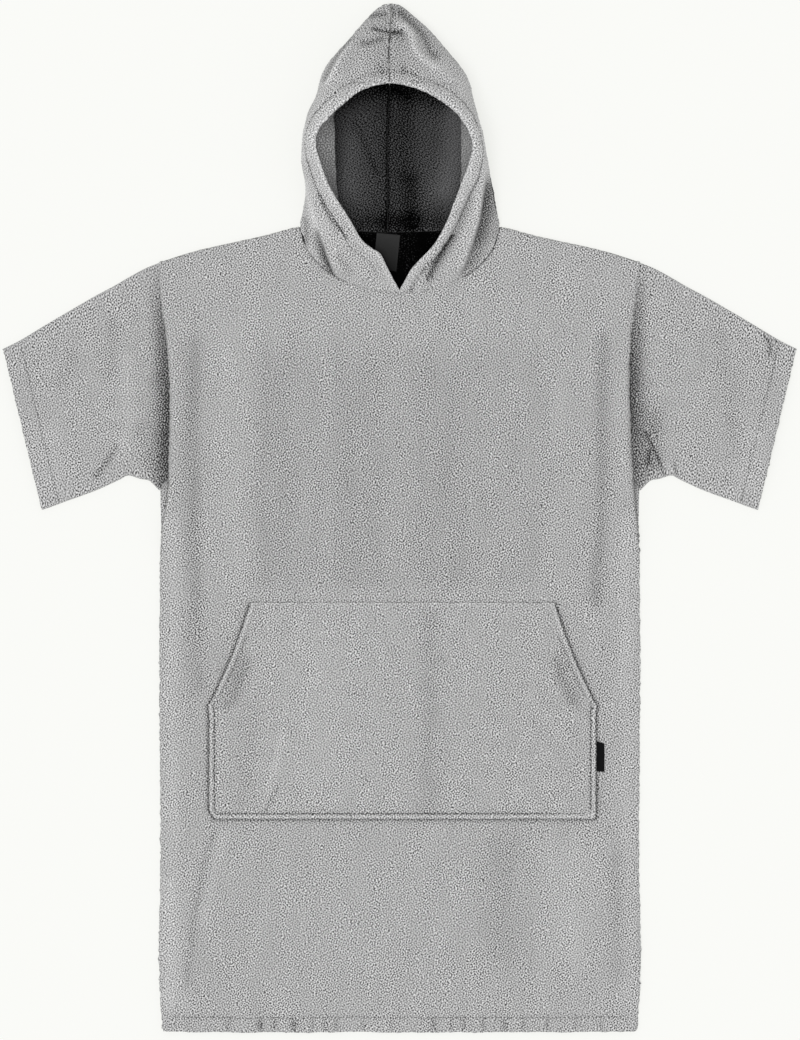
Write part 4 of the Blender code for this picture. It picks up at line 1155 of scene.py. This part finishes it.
def makeFacing(side, middle, place):
    # the hem turned in: a light strip that hangs inward from under the rim to a straight free edge
    first, last, edgeTop, edgeLow = hood["facing"][side]
    rim = middle[(place >= first) & (place <= last), -1]
    share = np.linspace(0, 1, len(rim))
    width = hood["facingWidth"]
    reach = np.clip(edgeTop + (edgeLow - edgeTop) * share - rim[:, 0], -0.9 * width, 0.9 * width)
    top = rim - np.array([0, 0, hood["facingDrop"]])
    fall = np.stack([reach, 0 * reach, -np.sqrt(width**2 - reach**2)], -1)
    down = np.linspace(0, 1, 13)[None, :, None]
    strip = top[:, None] + fall[:, None] * down
    strip[..., 0] += 0.0006 * waves(strip[..., 1], 0 * share[:, None] + down[..., 0] * 0.01, 0.03, 81 + side)
    inward = side * normalsOf(strip)
    outer, inner = rolledLip(strip + inward * halfCloth, strip - inward * halfCloth, halfCloth)
    outer = pile(outer, onLip(inward), 83 + side, 0.8)
    columns = np.arange(outer.shape[1])[None, :]
    # painted shade, darkest under the rim; the right facing gets less of it
    tone = np.interp(columns, (0, 6, 12, 15), hood["facingShade"]) + 0.3 * (side > 0)
    outer, inner, tone = (grid[:, :: side] for grid in (outer, inner, tone))
    word = sideWord[side]
    finishes = [shadedTurnedTerry, shadedTurnedTerry]
    return clothPiece(
        f"hood_facing_{word}_strip", f"hood_facing_{word}", outer, inner, finishes, tone=tone
    )


sleeve = {
    "columns": 120,  # from the shoulder fold down to the underarm fold
    "foldMid": 0.0050,
    "cuffHem": 0.025,
    "cuffRise": (0.0006, 0.001, 0.004),
    "cuffDip": (0.0008, 0.0022),
    "cuffPuckers": (0.0005, 0.008),
    "cuffRound": (0.0035, 0.0020),
    "tuckIn": 0.0045,  # how far it runs in under the front's rolled edge
    # painted shade where the sleeve dips beside the body: heights, how dark, how far out
    "shadeY": (0.03, 0.10, 0.17, 0.26, 0.34),
    "shade": {-1: (0.60, 0.70, 0.68, 0.50, 0.12), 1: (0.30, 0.54, 0.70, 0.52, 0.14)},
    "shadeReach": (0.022, 0.022, 0.022, 0.018, 0.012),
}
# from the armhole to the cuff: upper fold, underarm fold, rise of the upper layer in its middle
sleeveRows = tableOf(
    "topX topY underX underY hump",
    (328.3, 348.5, 328.3, 37, 0),
    (337, 345.2, 334, 43, 0),
    (346, 341.5, 342.5, 50.5, 1),
    (357, 336, 355, 53, 3.6),
    (372, 327.5, 371.5, 57.5, 7),
    (390, 317, 385, 51.2, 9),
    (418, 302, 411, 39.2, 8.8),
    (450, 283.5, 432, 31, 7),
    (484, 263.5, 456, 22.5, 5.4),
    (518, 243, 474.5, 15.5, 4.6),
    (542, 231, 489.5, 10.5, 4.4),
)
sleeveFolds = inMetres({
    -1: [
        (-4, 6, 8, (350, 60), (366, 68), (374, 78)),
        (3, 12, 14, (395, 110), (380, 150), (372, 220)),
        (-2.2, 12, 12, (455, 262), (470, 200), (482, 150)),
        (2.4, 14, 14, (430, 260), (446, 190), (455, 110)),
        (-2, 12, 12, (398, 280), (412, 210), (420, 130)),
    ],
    1: [
        (-5.5, 7, 10, (336, 80), (348, 88), (360, 74), (372, 62)),
        (3, 10, 14, (350, 110), (352, 170), (350, 230)),
        (-3, 5, 8, (518, 248), (514, 235), (508, 222)),
        (2, 16, 14, (400, 230), (410, 150), (420, 80)),
        (-1.8, 14, 14, (436, 250), (450, 170), (462, 90)),
    ],
})


# painted shade in the sleeves' folds and painted highlights on their ridges; on the right, the last row is a
# short dark thread end at the cuff
sleeveShades = inMetres({
    -1: [
        (0.08, 22, 22, (482, 110), (474, 40)),
        (-0.12, 9, 9, (392, 270), (395, 200)),
        (0.14, 10, 10, (370, 220), (372, 140), (382, 85)),
        (-0.34, 4, 5, (388, 96), (400, 78), (416, 58)),
        (-0.12, 11, 11, (350, 125), (344, 65)),
        (-0.1, 10, 10, (446, 225), (462, 185)),
    ],
    1: [
        (0.08, 22, 22, (482, 110), (474, 40)),
        (-0.08, 14, 14, (436, 250), (450, 170), (462, 90)),
        (-0.45, 3, 4, (501, 245), (506, 239), (506, 222)),
        (-0.3, 12, 14, (350, 138), (346, 100), (348, 70)),
        (-0.36, 3.6, 3.6, (341, 90), (340, 74)),
        (-0.12, 4, 4, (325, 74), (329, 54)),
        (-0.34, 2.8, 2.8, (336.9, 115.7), (346, 96), (354.7, 80.2)),
        (-0.34, 2.5, 2.5, (354, 79), (362.9, 56)),
        (0.16, 5, 5, (366, 73), (370, 64)),
        (-0.34, 2.4, 2.4, (375.7, 73.3), (379.3, 59.6)),
        (-0.9, 1.2, 1.2, (514, 242.5), (515.5, 241.5)),
    ],
}, kept=1)


def makeSleeve(side):
    # A flattened tube: the upper layer from shoulder to underarm, the underarm fold, the lower layer
    # on the floor, and the shoulder fold.
    share = 4
    sections = np.arange(len(sleeveRows["hump"]), dtype=float)
    rows = spaced(0, sections[-1], 0.1, share)
    row = {name: curveThrough(sections, sleeveRows[name], rows)[:, None] for name in sleeveRows}
    down = np.linspace(0, 1, sleeve["columns"] + 2)[1:-1]
    bend = np.radians(np.linspace(75, -75, 9))
    lower = down[::2][::-1]
    place = np.concatenate([down, 0 * bend + 1, lower, 0 * bend])[None, :]
    lean = np.concatenate([0 * down + pi / 2, bend, 0 * lower - pi / 2, bend[::-1]])[None, :]
    past = np.concatenate([0 * down, np.cos(bend), 0 * lower, -np.cos(bend)])[None, :]
    spare = -place.shape[1] % share
    if spare:
        place, lean, past = (
            np.concatenate([a, np.repeat(a[:, :1], spare, 1)], 1) for a in (place, lean, past)
        )
        place[0, -spare:] = np.linspace(0, down[0], spare + 2)[1:-1]
    above = lean > 1

    length = np.hypot(row["underX"] - row["topX"], row["underY"] - row["topY"])
    foldMid, foldCentre = sleeve["foldMid"], (sleeve["foldMid"] + body["backMid"]) / 2
    radius = foldMid - foldCentre
    inset = (radius + halfCloth) / length
    along = inset + (1 - 2 * inset) * place + past * radius / length
    x = row["topX"] + (row["underX"] - row["topX"]) * along
    y = row["topY"] + (row["underY"] - row["topY"]) * along
    edge = np.interp(y, frontEdge[side]["y"], frontEdge[side]["half"])
    tucked = sleeve["tuckIn"] * ease((y - 0.02) / 0.03) * ease((0.345 - y) / 0.03)
    near = (1 - ease(rows / 4.5)[:, None]) * ease((1 - place) / 0.07) * above
    x = x + (edge - tucked - body["armholeX"]) * near

    started = ease(rows / 2)[:, None]
    across = np.sin(pi * np.clip(place, 0, 1))
    upper = row["hump"] * across**0.6 + started * creases(sleeveFolds[side], x, y) * above
    upper += started * cloth["swell"] * 1.4 * waves(x, y, 0.05, 91 + side)
    z = np.where(above, foldMid + upper * across**0.35, foldCentre + radius * np.sin(lean))
    middle = np.stack([side * x, y, z], -1)
    outward = side * normalsOf(middle, around=True)
    outward[0, :, 0] = 0
    outward = unit(outward)

    toCuff = np.hypot(x[-1:] - x, y[-1:] - y)
    atStitches = toCuff - sleeve["cuffHem"]
    rise = hemStep(atStitches, *sleeve["cuffRise"])
    rise -= softLine(atStitches, *sleeve["cuffDip"]) + roundOver(toCuff, *sleeve["cuffRound"])
    rise -= softLine(atStitches + 0.006, *sleeve["cuffPuckers"]) * hemPuckers(y + 0 * x, 95 + side)
    outer = middle + outward * (halfCloth + rise * above)[..., None]
    outer = np.where(above[..., None], pile(outer, outward, 97 + side), outer)
    outer = ragged(outer, toCuff, (side * 0.97, -0.23, 0), 94 + side)
    outer[..., 2] = np.maximum(outer[..., 2], 0)
    inner = (middle - outward * halfCloth)[::share, ::share]

    word = sideWord[side]
    layer = outer[::-1, above[0]].transpose(1, 0, 2)
    cuffLine = seamLine(layer, toCuff[::-1, above[0]].T, sleeve["cuffHem"])
    stitches(f"{word}_cuff_stitches", [cuffLine], lightThread)
    # painted shade where the sleeve dips under the front's edge and along the cuff's stitches
    reach = np.interp(y, sleeve["shadeY"], sleeve["shadeReach"])
    paintedShade = np.interp(y, sleeve["shadeY"], sleeve["shade"][side])
    paintedShade *= np.exp(-((np.maximum(x - edge, 0) / reach) ** 2.8))
    paintedShade += (0.06 + 0.16 * ease((y - 0.12) / 0.08) * (side > 0)) * groove(atStitches, 0.0020)
    tone = unevenTone(x, y, 99) + (creases(sleeveShades[side], x, y) - paintedShade) * above
    fold = 1 - 2 * place
    if side < 0:
        outer, inner, tone, fold = (np.roll(grid[:, ::-1], 1, 1) for grid in (outer, inner, tone, fold))
    # on round the shoulder and underarm folds with the height
    places = outer[..., :2] - np.array([0, 1]) * (outer[..., 2:] * fold[..., None] ** 7)
    return clothPiece(f"{word}_sleeve", f"sleeve_{word}", outer, inner, bothFaces, True, tone, places=places)


pocket = {
    "x": 0.0037,
    "topY": -0.1165,
    "cornerY": -0.256,
    "bottomY": -0.4125,
    "topHalf": 0.2085,
    "half": 0.265,
    "bow": 0.004,
    "seat": 0.0099,  # middle of its cloth at the sewn edges
    "puff": 0.0024,
    "seam": 0.0078,  # from its edge to the stitches
    "slantBand": 0.0085,
    "mesh": 0.0023,
    "bulge": 0.0022,  # of the hand openings
    "hemRise": (0.0026, 0.0015, 0.0025),
    "slantRise": (0.0018, 0.002, 0.003),
    # soft lines along the stitches and edges: depth, or how much lighter as painted shade and painted
    # highlights, and half width
    "seamDip": (0.0019, 0.0018),
    "seamPuckers": (0.0005, 0.004),
    "slantDip": (0.0007, 0.0022),
    "seamShade": (0.40, 0.0015),
    "sideShading": (0.75, 0.0012),
    "lowShade": (0.5, 0.0012),
    "slantShade": (0.22, 0.003),
    "bandHighlight": (0.26, 0.0022),
    "topHighlight": (0.55, 0.0018),
    # painted shade close outside the pocket
    "outerShade": (0.55, 0.35, 0.0026),  # outside its sides and its lower edge, and half width
    # how far the lower corners are rounded in, on the left and on the right, and up to what height
    "corner": (0.007, 0.0008, 0.014),
    "round": (0.0036, 0.0022, 0.0040),  # of its edges: radius, drop at the top edge and at the others
}
pocketFolds = inMetres([
    (1.6, 9, 7, (-158, -290), (-170, -335), (-186, -400)),
    (-1.6, 5, 6, (-163, -362), (-174, -380), (-184, -402)),
    (-1.2, 14, 10, (-196, -300), (-205, -370)),
    (-1.5, 12, 16, (30, -140), (38, -250), (42, -330), (40, -395)),
    (1, 16, 16, (-30, -150), (-20, -300)),
    (1, 20, 20, (110, -150), (120, -380)),
    (-3, 8, 10, (-214, -205), (-224, -226), (-234, -250)),
    (-3, 10, 8, (218, -200), (229, -226), (236, -248)),
])


# painted shade in the pocket's folds and corners and painted highlights on its ridges
pocketShades = inMetres([
    (-0.12, 16, 14, (39, -135), (41, -250), (40, -400)),
    (0.05, 50, 50, (-120, -180), (-110, -340)),
    (0.14, 6, 6, (-160, -296), (-170, -335), (-184, -395)),
    (-0.3, 2.2, 3, (-166.5, -370), (-174, -383), (-183, -400)),
    (-0.24, 8, 13, (-210, -200), (-220, -226), (-231, -252)),
    (-0.24, 13, 8, (216, -200), (226, -226), (234, -250)),
    (-0.08, 14, 14, (-205, -260), (-215, -380)),
], kept=1)


def pocketHalf(y, left):
    # half width by height: straight up to the corner, then a bowed slant in to the top edge
    up = np.clip((y - pocket["cornerY"]) / (pocket["topY"] - pocket["cornerY"]), 0, 1)
    slant = (pocket["half"] - pocket["topHalf"]) * up + pocket["bow"] * np.sin(pi * up)
    inLeft, inRight, height = pocket["corner"]
    corner = np.where(left, inLeft, inRight) * (1 - ease((y - pocket["bottomY"]) / height))
    return pocket["half"] - slant - corner + 0.0016 * groove(y - pocket["cornerY"] + 0.002, 0.005)


def makePocket():
    # The pocket: straight rows as wide as pocketHalf. Its height is a level seat plus a puff away from
    # its edges and the folds; the hems are steps by the distance from the sewn and the slanted edges.
    share, cornerY, bottomY, topY = cloth["insideShare"], pocket["cornerY"], pocket["bottomY"], pocket["topY"]
    u, y = np.meshgrid(
        edgeRow(-pocket["half"], pocket["half"], pocket["mesh"], share) / pocket["half"],
        edgeRow(bottomY, topY, pocket["mesh"], share),
    )
    half = pocketHalf(y, u < 0)
    x = pocket["x"] + u * half
    fromSide = half - np.abs(x - pocket["x"])
    inside = np.minimum(np.minimum(fromSide, y - bottomY), topY - y)
    onSlant = ease((y - cornerY - 0.004) / 0.008)
    fromSewn = np.minimum(fromSide + 1.0 * onSlant, y - bottomY)
    atSeam = fromSewn - pocket["seam"]
    slantSide = fromSide + 1.0 * (1 - onSlant)
    atSlant = slantSide - pocket["slantBand"] - 0.001

    # heights of the middle of the cloth, and of the outer face over it
    mid = pocket["seat"] + pocket["puff"] * ease(inside / 0.07)
    mid += ease(atSeam / 0.02) * creases(pocketFolds, x, y)
    mid += cloth["swell"] * waves(x, y, 0.05, 51) * ease(inside / 0.03)
    opening = groove(y - (cornerY + topY) / 2, 0.062) * onSlant
    mid += pocket["bulge"] * opening * (1 - ease((fromSide - 0.004) / 0.02))
    rise = hemStep(atSeam, *pocket["hemRise"]) + hemStep(atSlant, *pocket["slantRise"])
    rise -= softLine(atSeam, *pocket["seamDip"]) + softLine(atSlant, *pocket["slantDip"])
    rise -= softLine(fromSewn - pocket["seam"] / 2, *pocket["seamPuckers"]) * hemPuckers(x + y, 53)
    radius, topDrop, drop = pocket["round"]
    rise -= roundOver(inside, radius, np.where(topY - y < 0.0040, topDrop, drop))
    rise -= 0.0010 * (1 - ease((inside - 0.001) / 0.003)) * (fromSewn > 0.5)
    low = np.stack([x, y, mid - halfCloth], -1)
    top = np.stack([x, y, mid + halfCloth + rise], -1)
    top = pile(top, normalsOf(top), 55, ease(inside / 0.002))
    top = ragged(top, fromSide, (0.7, 0, 0), 60)
    top = ragged(top, np.minimum(y - bottomY, topY - y), (0, 0.7, 0), 61)

    beside = (y[:, 0] > bottomY + pocket["seam"]) & (y[:, 0] < cornerY + 0.004)
    below = np.abs(u[0]) * pocket["half"] < pocket["half"] - pocket["seam"]
    middle = u.shape[1] // 2
    lines = [
        seamLine(top[beside, :middle], fromSide[beside, :middle], pocket["seam"]),
        seamLine(top[:, below].transpose(1, 0, 2), y[:, below].T - bottomY, pocket["seam"]),
        seamLine(top[beside, : middle : -1], fromSide[beside, : middle : -1], pocket["seam"]),
    ]
    stitches("pocket_stitches", lines, darkThread)
    # painted shade along the stitches and edges, and painted highlights on the hem's band and the top edge
    tone = unevenTone(x, y, 56) + creases(pocketShades, x, y)
    tone -= softLine(atSeam, *pocket["seamShade"]) * (1 - ease((x - 0.19) / 0.03) * (y < -0.400))
    tone -= softLine(fromSide, *pocket["sideShading"]) + softLine(y - bottomY, *pocket["lowShade"])
    tone -= softLine(atSlant, *pocket["slantShade"]) * (y < -0.16)
    tone += softLine(np.minimum(fromSewn, slantSide) - 0.0040, *pocket["bandHighlight"])
    tone += softLine(topY - y, *pocket["topHighlight"]) * (0.6 + 0.4 * hemPuckers(x, 59))
    return clothPiece("kangaroo_pocket", "pocket", top, low[::share, ::share], bothFaces, tone=tone)


def tapePiece(name, node, x, y, level, finish, tone=0):
    # a strip of woven tape, folded double: a slightly bowed slab with soft edges
    across, along = (0.5 - np.abs(np.linspace(-0.5, 0.5, count)) for count in x.shape[::-1])
    inside = np.minimum(0.01 * across[None, :], 0.04 * along[:, None])
    z = level + tape["bow"] * waves(x, y, 0.03, 57)
    reach = tape["thick"] / 2 - roundOver(inside, 0.0006, 0.3 * tape["thick"])
    top, low = (np.stack([x, y, z + way * reach], -1) for way in (1, -1))
    return clothPiece(name, node, top, low, [finish, finish], tone=tone)


tape = {"thick": 0.0010, "bow": 0.0001}
tabSize = {"width": 0.0105, "length": 0.041, "y": -0.326, "level": 0.0095, "hump": 0.0012}
labelSize = {"width": 0.032, "length": 0.050, "x": -0.0155, "lean": 0.10, "level": 0.0041, "hump": 0.0004}


def makeTab():
    # a strip out from the pocket's side that slopes a little towards the hem, with a low arch across it
    u, v = np.meshgrid(np.linspace(0, 1, 15), np.linspace(-0.5, 0.5, 43))
    x = pocket["x"] + pocket["half"] + 0.0005 + u * tabSize["width"]
    y = tabSize["y"] + v * tabSize["length"] - u * (0.0012 + 0.0023 * (v + 0.5))
    level = tabSize["level"] + tabSize["hump"] * np.sin(pi * u)
    return tapePiece("pocket_side_tab", "pocket_tab", x, y, level, blackTape)


def makeLabel():
    # a strip down from the back neck, leaning to one side, with a low arch along it
    u, v = np.meshgrid(np.linspace(-0.5, 0.5, 25), np.linspace(0, 1, 37))
    across, down = u * labelSize["width"], v * labelSize["length"]
    x = labelSize["x"] + across - down * labelSize["lean"]
    y = hoodRows["backY"][-1] - 0.0025 - down - across * labelSize["lean"]
    level = labelSize["level"] + labelSize["hump"] * np.sin(pi * v)
    # painted shade down the label, darker further in, and lighter along its long edges
    tone = 0.3 - 1.1 * v[::-1] + 0.25 * groove(0.5 - np.abs(u), 0.06)  # darker further in
    return tapePiece("back_neck_label", "neck_label", x[::-1], y[::-1], level, greyTape, tone)


front = makeFront()
back = makeBack()
print("body done")
for side, word in sideWord.items():
    armSleeve = makeSleeve(side)
    panel, hoodPoints, hoodPlace = makeHood(side)
    strip = makeFacing(side, hoodPoints, hoodPlace)
print("sleeves and hood done")
pouch = makePocket()
tab = makeTab()
label = makeLabel()
print("pocket and labels done")

view = {
    "lens": 300.0,
    "pixel": 0.001368,  # metres on the floor for each pixel of the frame
    "down": 1040,  # pixels from the top of the frame to its foot
    "middle": (0.0003, -0.0033),
    "hoodMiddle": (-0.012, 0.475, 0),
    "hoodReach": (0.116, 0.118),
    "floorGlow": 0.68,
    "keyPlace": (-0.45, -0.25, 2.6),
    "keyStrength": 1.25,
    "keyAngle": radians(30),
    "skyStrength": 0.67,
}


def floorFinish():
    # pale and faintly glowing, so that it shows nearly white
    made, tree, shader = finishOf("pale_floor")
    place = nodeOf(tree, "TexCoord").outputs["Object"]
    # no glow under the hood, where it would shine through the seams
    ends = {0: place, 1: view["hoodMiddle"]}
    away = nodeOf(tree, "VectorMath", ends, operation="DISTANCE").outputs["Value"]
    looks = {
        "Base Color": (0.26, 0.26, 0.26, 1),
        "Emission Color": (1.0, 1.007, 0.965, 1),
        "Emission Strength": fromTo(tree, away, *view["hoodReach"], 0.0, view["floorGlow"]),
        "Roughness": 0.9,
        "Specular IOR Level": 0.1,
    }
    feed(tree, shader, looks)
    return made


bpy.ops.mesh.primitive_plane_add(size=12, location=(0, 0, -0.0003))
floorPlane = bpy.context.object
floorPlane.name = "floor"
floorPlane.data.materials.append(floorFinish())

camera = bpy.data.cameras.new("camera")
camera.lens = view["lens"]
camera.clip_end = 60
eye = bpy.data.objects.new("camera", camera)
eye.location = (*view["middle"], view["lens"] * view["down"] * view["pixel"] / camera.sensor_width)
bpy.context.scene.collection.objects.link(eye)
bpy.context.scene.camera = eye

key = bpy.data.lights.new("key", "SUN")
key.energy = view["keyStrength"]
key.angle = view["keyAngle"]
keyHolder = bpy.data.objects.new("key", key)
keyHolder.location = view["keyPlace"]
across, along, up = view["keyPlace"]
keyHolder.rotation_euler = (0, -np.arctan2(np.hypot(across, along), up), np.arctan2(-along, -across))
bpy.context.scene.collection.objects.link(keyHolder)
world = bpy.data.worlds.new("studio")
bpy.context.scene.world = world
world.use_nodes = True
world.node_tree.nodes["Background"].inputs["Color"].default_value = (1, 1, 1, 1)
world.node_tree.nodes["Background"].inputs["Strength"].default_value = view["skyStrength"]
bpy.context.scene.view_settings.view_transform = "Standard"
